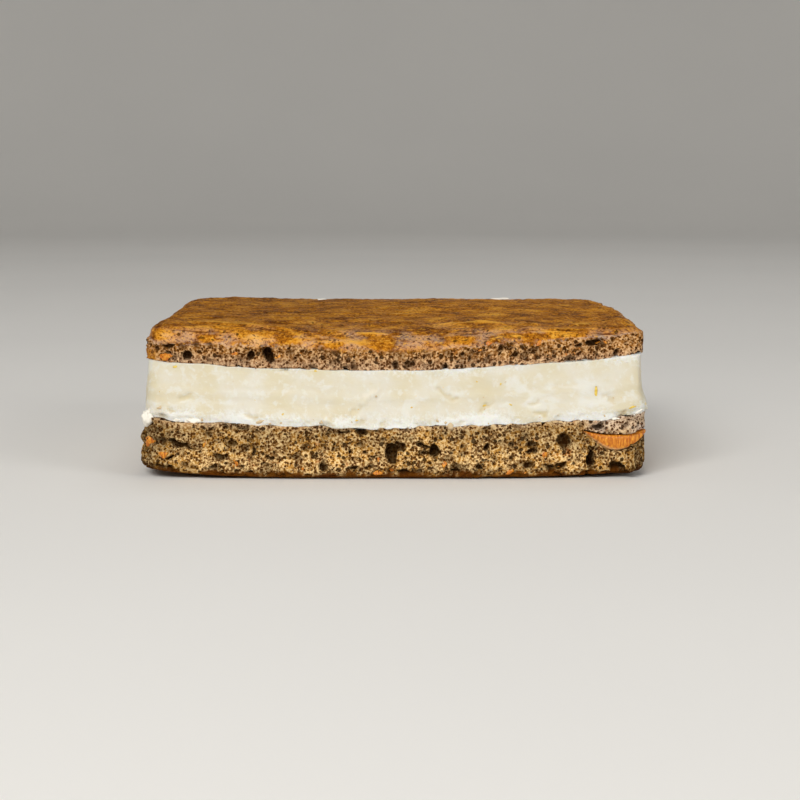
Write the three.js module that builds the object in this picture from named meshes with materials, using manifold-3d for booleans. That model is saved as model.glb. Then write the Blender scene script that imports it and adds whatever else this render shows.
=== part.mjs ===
// An ice cream sandwich: a slab of ice cream between two sheets of carrot cake, with a slice of
// carrot showing where the lower sheet was cut, at its front right corner.
// Millimetres. The origin lies on the ground under the middle of the sandwich, +X runs along the
// front face to the right, +Y to the back and +Z up.

import * as THREE from "three";
import { mergeVertices } from "three/addons/utils/BufferGeometryUtils.js";
import Module from "manifold-3d";

const wasm = await Module();
wasm.setup();

// Driving dimensions
const WIDTH = 90; // along X, of the ice cream
const DEPTH = 87; // along Y
const LOWER_CAKE = 9.3; // thickness of each layer in its middle
const ICE_CREAM = 10.4;
const UPPER_CAKE = 6.9;
const SEAT_GAP = 0.3; // left between two solids that lie on each other

// Plan outline: the sides belly out a little and the corners are round
const FRONT_BELLY = 2;
const SIDE_BELLY = 0.5;
const CORNER = { frontLeft: 5, frontRight: 4.5, backRight: 10, backLeft: 14 };
const STEPS = { side: 14, corner: 8 }; // points along each side and round each corner
const WANDER = 0.45; // how far a side strays in and out
const SEED = { lowerCake: 1, iceCream: 4, upperCake: 7 };

// How far each layer's sides stand out past the plan outline
const OVERHANG = {
  lowerCake: { left: 1.4, right: 0.2 },
  iceCream: { left: 0, right: 0.4 },
  upperCake: { left: -0.2, right: -0.4 },
};

// How much higher each boundary lies at the left and right ends than in the middle
const END_LIFT = {
  underside: { left: 1.5, right: 0.9 },
  lowerSeat: { left: 1.3, right: 2.2 },
  upperSeat: { left: 1.8, right: 2.5 },
  crust: { left: 1.1, right: 0.8 },
};
const FLAT_HALF = 22; // the underside is flat this far to each side of the middle
const WAVE = { height: 0.3, along: 31, across: 23 }; // slow waves in the two seats
const WAVE_PHASE = { lowerSeat: 0.4, upperSeat: 1.7 };

// Edges: the lower cake's bottom edge is rounded, and the crust turns down at the rim of its
// domed top, over a wider shoulder in the middle of the front
const BASE_EDGE = 1.6;
const ICE_CREAM_FLARE = [0.5, 0.1, 0, -0.1]; // up its side: the foot stands out, the top draws in
const DOME = 0.9;
const SHOULDER = { drop: 2, reach: 5, frontDrop: 1.3, frontReach: 4, frontHalf: 26 };

// Insets of the rings that cross the faces, from the rim to the middle
const COVERED_FACE = [0.15, 3, 9, 20, 34];
const BOTTOM_FACE = [4, 9, 20, 34];
const TOP_FACE = [0.25, 1, 2.2, 4, 6.5, 11, 20, 32];

// The slice of carrot: a crescent with blunt tips, that lies in the cake with its hollow side up
const CARROT = { width: 12.4, hang: 3.1, sag: 1, tip: 0.5, inside: 6, middleX: 41.2, rimZ: 8.6 };

const FINISH = {
  lowerCake: { color: 0xa37c4c, roughness: 0.85, metalness: 0 },
  iceCream: { color: 0xe8dec5, roughness: 0.5, metalness: 0 },
  upperCake: { color: 0xa86f2f, roughness: 0.6, metalness: 0 },
  carrot: { color: 0xc8711e, roughness: 0.45, metalness: 0 },
};

// Heights of the boundaries over the plan

const endLift = (x, { left, right }) => (x < 0 ? left : right) * (x / (WIDTH / 2)) ** 2;

const wave = (x, y, phase) =>
  WAVE.height * Math.sin(x / WAVE.along + phase) * Math.cos(y / WAVE.across + 2 * phase);

function underside(x) {
  const past = Math.max(0, Math.abs(x) - FLAT_HALF) / (WIDTH / 2 - FLAT_HALF);
  const { left, right } = END_LIFT.underside;
  return (x < 0 ? left : right) * past ** 2;
}

const lowerSeat = (x, y) =>
  LOWER_CAKE + endLift(x, END_LIFT.lowerSeat) + wave(x, y, WAVE_PHASE.lowerSeat);

const upperSeat = (x, y) =>
  LOWER_CAKE + ICE_CREAM + endLift(x, END_LIFT.upperSeat) + wave(x, y, WAVE_PHASE.upperSeat);

function crust(x, y) {
  const fromMiddle = Math.min(1, Math.hypot((2 * x) / WIDTH, (2 * y) / DEPTH));
  const dome = DOME * Math.cos((fromMiddle * Math.PI) / 2);
  return LOWER_CAKE + ICE_CREAM + UPPER_CAKE + endLift(x, END_LIFT.crust) + dome;
}

// How far the crust has turned down at an inset from a point p of the outline
function crustDrop(inset, p) {
  const front = p.y < -DEPTH / 3 ? Math.exp(-((p.x / SHOULDER.frontHalf) ** 2)) : 0;
  const reach = SHOULDER.reach + SHOULDER.frontReach * front;
  const left = Math.max(0, 1 - inset / reach);
  return (SHOULDER.drop + SHOULDER.frontDrop * front) * (1 - Math.sqrt(1 - left ** 2));
}

const raised = (surface, by) => (x, y, p) => surface(x, y, p) + by;

const between = (under, over, share) => (x, y, p) =>
  under(x, y, p) + share * (over(x, y, p) - under(x, y, p));

// The plan outline, as points anticlockwise from the front left corner
function planOutline() {
  const w = WIDTH / 2;
  const d = DEPTH / 2;
  const { frontLeft, frontRight, backRight, backLeft } = CORNER;
  const shape = new THREE.Shape();
  shape.moveTo(-w + frontLeft, -d);
  shape.quadraticCurveTo(0, -d - 2 * FRONT_BELLY, w - frontRight, -d);
  shape.quadraticCurveTo(w, -d, w, -d + frontRight);
  shape.quadraticCurveTo(w + 2 * SIDE_BELLY, 0, w, d - backRight);
  shape.quadraticCurveTo(w, d, w - backRight, d);
  shape.quadraticCurveTo(0, d + 2 * SIDE_BELLY, -w + backLeft, d);
  shape.quadraticCurveTo(-w, d, -w, d - backLeft);
  shape.quadraticCurveTo(-w - 2 * SIDE_BELLY, 0, -w, -d + frontLeft);
  shape.quadraticCurveTo(-w, -d, -w + frontLeft, -d);
  return shape.curves.flatMap((curve, i) => {
    const steps = i % 2 === 0 ? STEPS.side : STEPS.corner;
    return curve.getPoints(steps).slice(1);
  });
}

const OUTLINE = planOutline();
const AROUND = OUTLINE.length;

// How far a side strays outward in the direction of p, at a share of the layer's height
function stray(p, share, seed) {
  const a = Math.atan2(p.y, p.x);
  const slow = Math.sin(5 * a + seed) + 0.6 * Math.sin(11 * a + 3 * seed + 2 * share);
  return (WANDER * (slow + 0.5 * Math.sin(19 * a + 5 * seed + 4 * share))) / 2;
}

// One ring of a slab, moved in from the outline by its level's inset
function ring({ inset, share, height }, overhang, seed) {
  return OUTLINE.map((p) => {
    const length = p.length();
    const hang = ((p.x < 0 ? overhang.left : overhang.right) * Math.abs(p.x)) / length;
    const out = hang + stray(p, share, seed);
    const nearEdge = Math.max(0, 1 - Math.max(0, inset) / length);
    const scale = 1 + (out * nearEdge - inset) / length;
    const x = p.x * scale;
    const y = p.y * scale;
    return new THREE.Vector3(x, y, height(x, y, p));
  });
}

// A closed slab over its levels, from the middle of its underside, out, up the side and back in
// to the middle of its top. A level has an inset from the outline, a share of the layer's
// thickness that sets how its outline strays, and a height over the plan.
function slab(levels, overhang, seed) {
  const middle = ({ height }) => new THREE.Vector3(0, 0, height(0, 0, new THREE.Vector2()));
  const rings = levels.map((level) => ring(level, overhang, seed));
  const points = [middle(levels[0]), ...rings.flat(), middle(levels.at(-1))];
  const at = (r, i) => 1 + r * AROUND + (i % AROUND);
  const top = rings.length - 1;
  const index = [];
  for (let i = 0; i < AROUND; i++) {
    index.push(0, at(0, i + 1), at(0, i));
    index.push(points.length - 1, at(top, i), at(top, i + 1));
    for (let r = 0; r < top; r++) {
      index.push(at(r, i), at(r, i + 1), at(r + 1, i + 1));
      index.push(at(r, i), at(r + 1, i + 1), at(r + 1, i));
    }
  }
  const geometry = new THREE.BufferGeometry().setFromPoints(points);
  geometry.setIndex(index);
  return geometry;
}

// The three layers

const across = (insets, height) => insets.map((inset) => ({ inset, share: 1, height }));

const inward = (insets) => [...insets].reverse();

function lowerCakeSlab() {
  const over = raised(lowerSeat, -SEAT_GAP / 2);
  const roundEdge = [30, 60, 90].map((degrees) => {
    const angle = THREE.MathUtils.degToRad(degrees);
    const up = (BASE_EDGE * (1 - Math.cos(angle))) / LOWER_CAKE;
    const inset = BASE_EDGE * (1 - Math.sin(angle));
    return { inset, share: up, height: between(underside, over, up) };
  });
  const side = [0.4, 0.7, 0.97].map((share) => {
    return { inset: 0, share, height: between(underside, over, share) };
  });
  const bottom = inward(BOTTOM_FACE).map((inset) => ({ inset, share: 0, height: underside }));
  return slab(
    [...bottom, ...roundEdge, ...side, ...across(COVERED_FACE, over)],
    OVERHANG.lowerCake,
    SEED.lowerCake,
  );
}

function iceCreamSlab() {
  const under = raised(lowerSeat, SEAT_GAP / 2);
  const over = raised(upperSeat, -SEAT_GAP / 2);
  const side = ICE_CREAM_FLARE.map((flare, i) => {
    const share = (i + 0.3) / (ICE_CREAM_FLARE.length - 0.4);
    return { inset: -flare, share, height: between(under, over, share) };
  });
  return slab(
    [...across(inward(COVERED_FACE), under), ...side, ...across(COVERED_FACE, over)],
    OVERHANG.iceCream,
    SEED.iceCream,
  );
}

function upperCakeSlab() {
  const under = raised(upperSeat, SEAT_GAP / 2);
  const rim = (x, y, p) => crust(x, y) - crustDrop(0, p);
  const side = [0.1, 0.5, 0.9].map((share) => {
    return { inset: 0.1, share, height: between(under, rim, share) };
  });
  const top = TOP_FACE.map((inset) => {
    return { inset, share: 1, height: (x, y, p) => crust(x, y) - crustDrop(inset, p) };
  });
  return slab(
    [...across(inward(COVERED_FACE), under), ...side, ...top],
    OVERHANG.upperCake,
    SEED.upperCake,
  );
}

// The points of an anticlockwise outline, moved outward
function grown(points, by) {
  const outward = (a, b) => new THREE.Vector2(b.y - a.y, a.x - b.x).normalize();
  return points.map((p, i) => {
    const before = outward(points.at(i - 1), p);
    const after = outward(p, points[(i + 1) % points.length]);
    const mitre = before.clone().add(after).divideScalar(1 + before.dot(after));
    return p.clone().addScaledVector(mitre, by);
  });
}

// The carrot's crescent, from well in front of the cake to its end inside the cake, and larger
// by a clearance on every side
function carrotCrescent(clearance) {
  const half = CARROT.width / 2;
  const shape = new THREE.Shape();
  shape.moveTo(-half, 0);
  shape.lineTo(-half, -CARROT.tip);
  shape.quadraticCurveTo(0, -CARROT.tip - 2 * CARROT.hang, half, -CARROT.tip);
  shape.lineTo(half, 0);
  shape.quadraticCurveTo(0, -2 * CARROT.sag, -half, 0);
  const outline = shape.getPoints(12).slice(0, -1);
  const inside = CARROT.inside + clearance;
  const depth = inside + 3 * FRONT_BELLY;
  const section = new THREE.Shape(grown(outline, clearance));
  const geometry = new THREE.ExtrudeGeometry(section, { depth, bevelEnabled: false });
  geometry.rotateX(Math.PI / 2);
  geometry.translate(CARROT.middleX, -DEPTH / 2 + inside, CARROT.rimZ);
  return geometry;
}

// Joining and cutting

function solidOf(geometry) {
  const bare = geometry.clone();
  bare.deleteAttribute("normal");
  bare.deleteAttribute("uv");
  const merged = mergeVertices(bare, 1e-4);
  const vertProperties = merged.getAttribute("position").array;
  const triVerts = new Uint32Array(merged.index.array);
  return new wasm.Manifold(new wasm.Mesh({ numProp: 3, vertProperties, triVerts }));
}

function geometryOf(solid) {
  const { vertProperties, triVerts } = solid.getMesh();
  const geometry = new THREE.BufferGeometry();
  geometry.setAttribute("position", new THREE.BufferAttribute(vertProperties, 3));
  geometry.setIndex(new THREE.BufferAttribute(triVerts, 1));
  return geometry;
}

function named(name, geometry, finish) {
  geometry.computeVertexNormals();
  const mesh = new THREE.Mesh(geometry, new THREE.MeshStandardMaterial(finish));
  mesh.name = name;
  return mesh;
}

const cake = solidOf(lowerCakeSlab());
const carrot = cake.intersect(solidOf(carrotCrescent(0)));
const cutCake = cake.subtract(solidOf(carrotCrescent(SEAT_GAP)));

const sandwich = new THREE.Group();
sandwich.add(
  named("lower_cake", geometryOf(cutCake), FINISH.lowerCake),
  named("ice_cream", iceCreamSlab(), FINISH.iceCream),
  named("upper_cake", upperCakeSlab(), FINISH.upperCake),
  named("carrot_slice", geometryOf(carrot), FINISH.carrot),
);

// The origin goes under the middle of the sandwich's box
const middle = new THREE.Box3().setFromObject(sandwich).getCenter(new THREE.Vector3());
sandwich.position.set(-middle.x, -middle.y, 0);

export default sandwich;
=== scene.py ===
"""Builds the looks of an ice cream sandwich around its solid model.

The sandwich is a slab of ice cream between two sheets of carrot cake. Everything is in metres, in
the solid model's frame: +X runs along the front face to the right, +Y to the back, +Z up.
"""

import math
from itertools import product

import bmesh
import bpy
import numpy as np
from bpy.props import FloatProperty, FloatVectorProperty, IntProperty, PointerProperty
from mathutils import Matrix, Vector
from mathutils.bvhtree import BVHTree


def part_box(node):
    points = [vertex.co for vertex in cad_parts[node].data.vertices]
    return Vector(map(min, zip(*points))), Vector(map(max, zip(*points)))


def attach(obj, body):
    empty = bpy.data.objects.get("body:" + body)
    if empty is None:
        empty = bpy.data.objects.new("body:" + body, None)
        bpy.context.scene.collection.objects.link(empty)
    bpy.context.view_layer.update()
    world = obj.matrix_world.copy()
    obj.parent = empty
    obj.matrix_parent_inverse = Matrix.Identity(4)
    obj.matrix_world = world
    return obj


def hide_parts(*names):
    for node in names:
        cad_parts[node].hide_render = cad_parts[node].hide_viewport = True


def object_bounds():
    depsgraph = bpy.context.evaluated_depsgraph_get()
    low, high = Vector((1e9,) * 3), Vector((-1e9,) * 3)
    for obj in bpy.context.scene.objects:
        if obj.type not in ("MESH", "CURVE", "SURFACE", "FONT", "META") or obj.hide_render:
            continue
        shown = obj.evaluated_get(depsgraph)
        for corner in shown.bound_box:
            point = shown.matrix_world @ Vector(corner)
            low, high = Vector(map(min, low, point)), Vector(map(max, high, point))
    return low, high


bl_info = {
    "name": "Ice Cream Sandwich",
    "version": (1, 0, 0),
    "blender": (4, 5, 0),
    "location": "3D View > Sidebar > Sandwich",
    "description": "Builds a slab of ice cream between two sheets of carrot cake",
    "category": "Object",
}

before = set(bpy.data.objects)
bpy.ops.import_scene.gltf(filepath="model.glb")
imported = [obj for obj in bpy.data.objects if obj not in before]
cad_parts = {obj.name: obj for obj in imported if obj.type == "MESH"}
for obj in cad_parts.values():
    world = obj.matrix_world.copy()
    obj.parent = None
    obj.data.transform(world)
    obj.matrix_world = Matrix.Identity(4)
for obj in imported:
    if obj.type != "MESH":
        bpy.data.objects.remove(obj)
SOLID_BOX = [list(corner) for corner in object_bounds()]

MM = 0.001
TAU = 2 * math.pi


# Numbers that vary from place to place


def scattered(cell, seed):
    """A number from -1 to 1 for each cell of a lattice, with no pattern to it."""
    c = cell.astype(np.uint32)
    h = c[..., 0] * np.uint32(73856093) ^ c[..., 1] * np.uint32(19349663)
    h = h ^ c[..., 2] * np.uint32(83492791) ^ np.uint32(seed * 2654435761 % 2**32)
    h = (h ^ h >> np.uint32(15)) * np.uint32(2246822519)
    h = (h ^ h >> np.uint32(13)) * np.uint32(3266489917)
    return (h >> np.uint32(16)).astype(float) / 32767.5 - 1


def waves(points, size, seed, octaves=1):
    """Smooth noise at points, from about -1 to 1, whose bumps are about as wide as size."""
    total = 0
    weight = 0
    for octave in range(octaves):
        lattice = points * 2**octave / size + 31.7
        cell = np.floor(lattice)
        f = lattice - cell
        f = f * f * f * (f * (f * 6 - 15) + 10)
        value = 0
        for corner in product((0, 1), repeat=3):
            share = np.prod(np.where(corner, f, 1 - f), axis=-1)
            value = value + share * scattered(cell + corner, seed + octave)
        total = total + value / 2**octave
        weight += 0.6 / 2**octave
    return total / weight


def ridges(points, size, seed):
    """Sharp creases from 0 to 1, at points where smooth noise changes sign."""
    return (1 - np.abs(waves(points, size, seed)).clip(0, 1)) ** 4


def smooth_step(values, low, high):
    """0 below low, 1 above high and a soft rise between."""
    t = ((values - low) / (high - low)).clip(0, 1)
    return t * t * (3 - 2 * t)


# Pieces


def in_scene(name, data):
    """A new object of the scene that holds a mesh, a light or a camera."""
    made = bpy.data.objects.new(name, data)
    bpy.context.collection.objects.link(made)
    return made


def piece_of(name, points, faces):
    """A smooth piece made of points and faces."""
    mesh = bpy.data.meshes.new(name)
    mesh.from_pydata(points, [], faces)
    mesh.shade_smooth()
    return in_scene(name, mesh)


def faces_between(rings, around):
    """Faces that join rings of points, each ring with the same number around."""
    faces = []
    for start in range(0, (rings - 1) * around, around):
        for i in range(around):
            a, b = start + i, start + (i + 1) % around
            faces.append([a, a + around, b + around, b])
    return faces


# The surface of a layer, measured on the solid model

INSIDE = 5 * MM  # how far inside a side the rays that measure it meet
FAR = 120 * MM  # where those rays start
MEASURED = 240  # directions in which a layer is measured
SEAT_FILL = 0.3 * MM  # how far a layer grows past its seat, so that no gap shows there
CORNER_PULL = 2.8 * MM  # how much rounder the back corners are than the solids' own
ON_FACE = 0.999  # rows that aim at least this far up or down lie on the face above or below
FRONT_SIDE = -30 * MM  # the y that all of the front side lies in front of
LEFT_END = (41 * MM, 45.5 * MM)  # how far left a side starts to be its end, and all is its end


def solid_tree(*nodes):
    """A search tree over the faces of some of the solid model's nodes."""
    points = []
    faces = []
    for name in nodes:
        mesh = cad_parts[name].data
        start = len(points)
        points += [vertex.co.copy() for vertex in mesh.vertices]
        faces += [[start + i for i in face.vertices] for face in mesh.polygons]
    return BVHTree.FromPolygons(points, faces)


def reach_of(tree, pivot, direction):
    """How far the solid's surface lies from a point inside it, seen from outside."""
    direction = direction.normalized()
    hit = tree.ray_cast(pivot + direction * FAR, -direction)
    if hit[0] is None:
        raise RuntimeError("a ray missed the solid model")
    return FAR - hit[3]


def height_at(tree, x, y, way):
    """The height of the solid's top (way 1) or underside (way -1) at a place."""
    return way * reach_of(tree, Vector((x, y, 0)), Vector((0, 0, way)))


def even_turns(tree, z, count):
    """Angles from the middle that cut the outline at height z in even steps, and its length.
    They start at the front left corner."""
    start = math.atan2(SOLID_BOX[0][1], SOLID_BOX[0][0])
    angles = start + np.linspace(0, TAU, 721)
    pivot = Vector((0, 0, z))
    reach = [reach_of(tree, pivot, Vector((math.cos(a), math.sin(a), 0))) for a in angles]
    points = np.array(reach)[:, None] * np.stack([np.cos(angles), np.sin(angles)], 1)
    steps = np.linalg.norm(np.diff(points, axis=0), axis=1)
    length = np.concatenate([[0], np.cumsum(steps)])
    even = np.linspace(0, length[-1], count, endpoint=False)
    return np.interp(even, length, angles), length[-1]


def closed_over(reach):
    """Measured distances without the narrow slits in them."""
    for pick in (np.max, np.min):
        around = [np.roll(reach, (i, j), (0, 1)) for i in range(-3, 4) for j in range(-1, 2)]
        kept = pick(around, axis=0)
        kept[:3] = reach[:3]
        kept[-3:] = reach[-3:]
        reach = kept
    return reach


def evened(grid, spacing, sigma):
    """A grid of points made smooth round its second axis."""
    count = grid.shape[1]
    pitch = np.fft.rfftfreq(count, spacing)
    keep = np.exp(-2 * (math.pi * pitch * sigma) ** 2)[None, :, None]
    return np.fft.irfft(np.fft.rfft(grid, axis=1) * keep, count, axis=1)


def wall_rows(half, spacing, under, over):
    """Where the rows of a side aim: how far out, and how far up as a share of half its height.
    under and over are the distances inward of the rows on the faces below and above it."""
    count = int(2 * half / spacing)
    side = [(INSIDE, up) for up in np.linspace(-1, 1, count + 1)]
    below = [(INSIDE - inset, -1) for inset in sorted(under, reverse=True)]
    above = [(INSIDE - inset, 1) for inset in sorted(over)]
    return np.array(below + side + above)


def measured_wall(tree, z, rows, columns):
    """The points of a layer's side, by row and column, and the distance between columns."""
    turns, length = even_turns(tree, z, MEASURED)
    reach = np.empty((len(rows), MEASURED))
    directions = np.empty((len(rows), MEASURED, 3))
    pivots = np.empty((MEASURED, 3))
    for i, angle in enumerate(turns):
        out = Vector((math.cos(angle), math.sin(angle), 0))
        edge = reach_of(tree, Vector((0, 0, z)), out) - INSIDE
        place = out * edge
        top = height_at(tree, place.x, place.y, 1)
        bottom = height_at(tree, place.x, place.y, -1)
        pivot = Vector((place.x, place.y, (top + bottom) / 2))
        pivots[i] = pivot
        for j, (outward, up) in enumerate(rows):
            aim = (out * outward + Vector((0, 0, up * (top - bottom) / 2))).normalized()
            directions[j, i] = aim
            reach[j, i] = reach_of(tree, pivot, aim)
    coarse = pivots + directions * closed_over(reach)[..., None]
    at = np.arange(columns) * MEASURED / columns
    first = np.floor(at).astype(int)
    share = (at - first)[None, :, None]
    fine = coarse[:, first] * (1 - share) + coarse[:, (first + 1) % MEASURED] * share
    return evened(fine, length / columns, 1.2 * MM), length / columns


def face_rings(tree, rim, spacing, way):
    """Rings that shrink from a rim to the middle of the face above (way 1) or below (way -1),
    with half as many points each time the points crowd."""
    radius = np.linalg.norm(rim[:, :2], axis=1).mean()
    gap = np.linalg.norm(np.diff(rim, axis=0), axis=1).mean()
    offset = rim[:, 2] - [height_at(tree, x, y, way) for x, y, _ in rim]
    rings = []
    skip = 1
    scale = 1
    while scale * radius > 2 * spacing:
        if gap * skip * scale < 0.7 * spacing and len(rim) // skip > 22:
            skip *= 2
        scale -= min(spacing, 1.2 * gap * skip * scale) / radius
        ring = rim[::skip] * [scale, scale, 1]
        heights = [height_at(tree, x, y, way) for x, y, _ in ring]
        ring[:, 2] = np.array(heights) + offset[::skip] * scale**8
        rings.append(ring)
    return rings


def square_off(wall, level, way):
    """Takes a side straight on to its seat and a little past it, with no rounded edge. level is
    how near to the seat each row aims, from -1 to 1."""
    last = np.flatnonzero(level < 0.82)[::way][-1]
    flat = np.flatnonzero(level > ON_FACE)[::way]
    wall[flat[:2], :, 2] = wall[flat[2], :, 2]
    wall[flat, :, 2] += way * SEAT_FILL
    for row in [*np.flatnonzero((level > level[last]) & (level < ON_FACE)), flat[0]]:
        share = (level[row] - level[last]) / (1 - level[last])
        wall[row, :, :2] = wall[last, :, :2]
        wall[row, :, 2] = wall[last, :, 2] * (1 - share) + wall[flat[0], :, 2] * share


def rounder_back(points):
    """Points with those of the back corners pulled in."""
    spread = (abs(points[:, 0]) + points[:, 1]) / (45 * MM)
    pull = CORNER_PULL * smooth_step(spread, 1.4, 2.0) / 2**0.5
    return points - np.stack([np.sign(points[:, 0]) * pull, pull, 0 * pull], 1)


class Layer:
    """The fine surface of a layer: rings of points from the middle of its underside, out, up its
    side and in to the middle of its top, with an inward dent for each point."""

    def __init__(self, tree, z, half, spacing, inner, columns=1408, under=(), over=(), seats=()):
        rows = wall_rows(half, spacing, under, over)
        wall, self.gap = measured_wall(tree, z, rows, columns)
        self.up = rows[:, 1]
        for way in seats:
            square_off(wall, way * self.up, way)
        below = face_rings(tree, wall[0], inner[0], -1)[::-1]
        above = face_rings(tree, wall[-1], inner[1], 1)
        self.rings = [*below, *wall, *above]
        self.first = len(below)
        self.rows, self.columns = wall.shape[:2]
        middles = [[0, 0, below[0][:, 2].mean()]], [[0, 0, above[-1][:, 2].mean()]]
        self.points = rounder_back(np.concatenate([*self.rings, *middles]))
        start = sum(len(ring) for ring in below)
        self.wall = slice(start, start + self.rows * self.columns)
        steps = np.linalg.norm(np.diff(wall, axis=0), axis=2).mean(axis=1)
        self.rise = np.concatenate([[0], np.cumsum(steps)])
        self.dent = np.zeros(len(self.points))
        faces, self.corner_turns, self.corner_rings = joined_rings([len(r) for r in self.rings])
        self.mesh = bpy.data.meshes.new("layer")
        self.mesh.from_pydata(self.points.tolist(), [], faces)
        self.read_directions()

    def move_points(self):
        """Puts the mesh's points where they are now."""
        self.mesh.vertices.foreach_set("co", self.points.astype(np.float32).ravel())
        self.mesh.update()

    def read_directions(self):
        """Reads the outward direction at each point, in which dents are measured."""
        found = np.empty(3 * len(self.points), np.float32)
        self.mesh.vertex_normals.foreach_get("vector", found)
        self.normals = found.reshape(-1, 3).astype(float)
        self.wall_points = self.points[self.wall].reshape(self.rows, self.columns, 3)
        self.wall_normals = self.normals[self.wall].reshape(self.rows, self.columns, 3)

    def nearest(self, x, z):
        """The row and column of the point of the front side that lies nearest to x and z."""
        away = np.hypot(self.wall_points[..., 0] - x, self.wall_points[..., 2] - z)
        away[self.wall_points[..., 1] > FRONT_SIDE] = 1
        return np.unravel_index(np.argmin(away), away.shape)

    def side_rows(self):
        """The rows that lie on the side itself, not on the faces above and below."""
        return np.flatnonzero(np.abs(self.up) < ON_FACE)

    def wall_dent(self):
        """The dents of the side, by row and column."""
        return self.dent[self.wall].reshape(self.rows, self.columns)

    def set_wall_dent(self, values):
        """Sets the dents of the side, by row and column."""
        self.dent[self.wall] = values.ravel()

    def on_wall(self, values):
        """A number for each point: the values on the side, by row and column, and 0 elsewhere."""
        numbers = np.zeros(len(self.points))
        numbers[self.wall] = values.ravel()
        return numbers

    def note(self, name, values):
        """Stores a number for each point, for the material to read."""
        self.mesh.attributes.new(name, "FLOAT", "POINT").data.foreach_set("value", values)

    def finish(self, name):
        """Moves the points by their dents and returns the piece."""
        self.lay_out()
        self.points = self.points - self.normals * self.dent[:, None]
        self.dent = np.zeros(len(self.points))
        self.move_points()
        self.read_directions()
        self.mesh.shade_smooth()
        self.mesh.update()
        self.mesh.name = name
        return in_scene(name, self.mesh)

    def lay_out(self):
        """Lays the surface out flat: the side in four strips, with the top and underside."""
        turns = np.array(self.corner_turns)
        rings = np.array(self.corner_rings)
        loops = np.empty(len(self.mesh.loops), np.int32)
        self.mesh.loops.foreach_get("vertex_index", loops)
        plan = self.points[loops, :2]
        sizes = np.empty(len(self.mesh.polygons), np.int32)
        self.mesh.polygons.foreach_get("loop_total", sizes)
        starts = np.concatenate([[0], np.cumsum(sizes)[:-1]])
        face = np.repeat(np.arange(len(sizes)), sizes)
        strip = np.floor(4 * (np.add.reduceat(turns, starts) / sizes))[face].clip(0, 3)
        lowest = np.minimum.reduceat(rings, starts)[face]
        highest = np.maximum.reduceat(rings, starts)[face]
        width = self.gap * self.columns / 4
        tall = self.rise[-1] / width
        row = (rings - self.first).clip(0, self.rows - 1).astype(int)
        margin = 0.004
        across = (4 * turns - strip).clip(0, 1)
        upward = self.rise[row] / width + strip * (tall + margin)
        uv = np.stack([across, upward], 1)
        room = 4 * (tall + margin)
        square = (plan - plan.min(0)) / np.ptp(plan, axis=0).max()
        left = 1 - room
        share = {1: 0.7, -1: 0.28}
        for way, at in ((1, highest > self.first + self.rows - 1), (-1, lowest < self.first)):
            size = min(left, share[way]) if left > share[way] else left * share[way]
            shift = [0 if way == 1 else 0.72, room]
            uv[at] = square[at] * size + shift
        layer = self.mesh.uv_layers.new(name="OFBake")
        layer.uv.foreach_set("vector", (0.002 + 0.996 * uv).astype(np.float32).ravel())


def joined_rings(counts):
    """Faces between rings of points, with the turn and the ring of each face's corners."""
    starts = np.concatenate([[0], np.cumsum(counts)])
    faces = []
    turns = []
    rings = []

    def add(*corners):
        faces.append([int(starts[r] + i % counts[r]) for r, i in corners])
        turns.extend(i / counts[r] for r, i in corners)
        rings.extend(r for r, _ in corners)

    for r in range(len(counts) - 1):
        n, m = counts[r], counts[r + 1]
        for i in range(min(n, m)):
            if n == m:
                add((r, i), (r, i + 1), (r + 1, i + 1), (r + 1, i))
            elif n > m:
                add((r, 2 * i), (r, 2 * i + 1), (r + 1, i))
                add((r, 2 * i + 1), (r + 1, i + 1), (r + 1, i))
                add((r, 2 * i + 1), (r, 2 * i + 2), (r + 1, i + 1))
            else:
                add((r, i), (r + 1, 2 * i + 1), (r + 1, 2 * i))
                add((r, i), (r, i + 1), (r + 1, 2 * i + 1))
                add((r, i + 1), (r + 1, 2 * i + 2), (r + 1, 2 * i + 1))
    for r, way in ((0, -1), (len(counts) - 1, 1)):
        middle = int(starts[-1]) + (way == 1)
        for i in range(counts[r]):
            near, far = (i, i + 1) if way == 1 else (i + 1, i)
            faces.append([middle, *(int(starts[r] + k % counts[r]) for k in (near, far))])
            turns.extend(k / counts[r] for k in (i, near, far))
            rings.extend([r + way * 0.5] * 3)
    return faces, turns, rings


# Relief that is cut into the layers


def random_pores(layer, count, smallest, largest, steepness, seed):
    """Pores all round a side, most of them small. Each is a row, a column, half its width, half
    its height, its tilt and its depth."""
    rng = np.random.default_rng(seed)
    side = layer.side_rows()
    size = smallest * (1 - rng.random(count)) ** (-1 / steepness)
    size = size.clip(smallest, largest)
    wide = size * rng.uniform(0.8, 1.5, count)
    high = size * rng.uniform(0.7, 1.1, count)
    rows = rng.choice(side, count)
    columns = rng.integers(0, layer.columns, count)
    tilt = rng.uniform(-0.5, 0.5, count)
    depth = size * rng.uniform(0.8, 1.6, count)
    return list(zip(rows, columns, wide, high, tilt, depth))


def placed_pores(layer, places):
    """Pores of the front side, each given by its middle's x and z, its width, its height, its
    tilt and its depth, in millimetres and radians."""
    pores = []
    for x, z, width, height, tilt, depth in places:
        row, column = layer.nearest(x * MM, z * MM)
        pores.append((row, column, width / 2 * MM, height / 2 * MM, tilt, depth * MM))
    return pores


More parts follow.
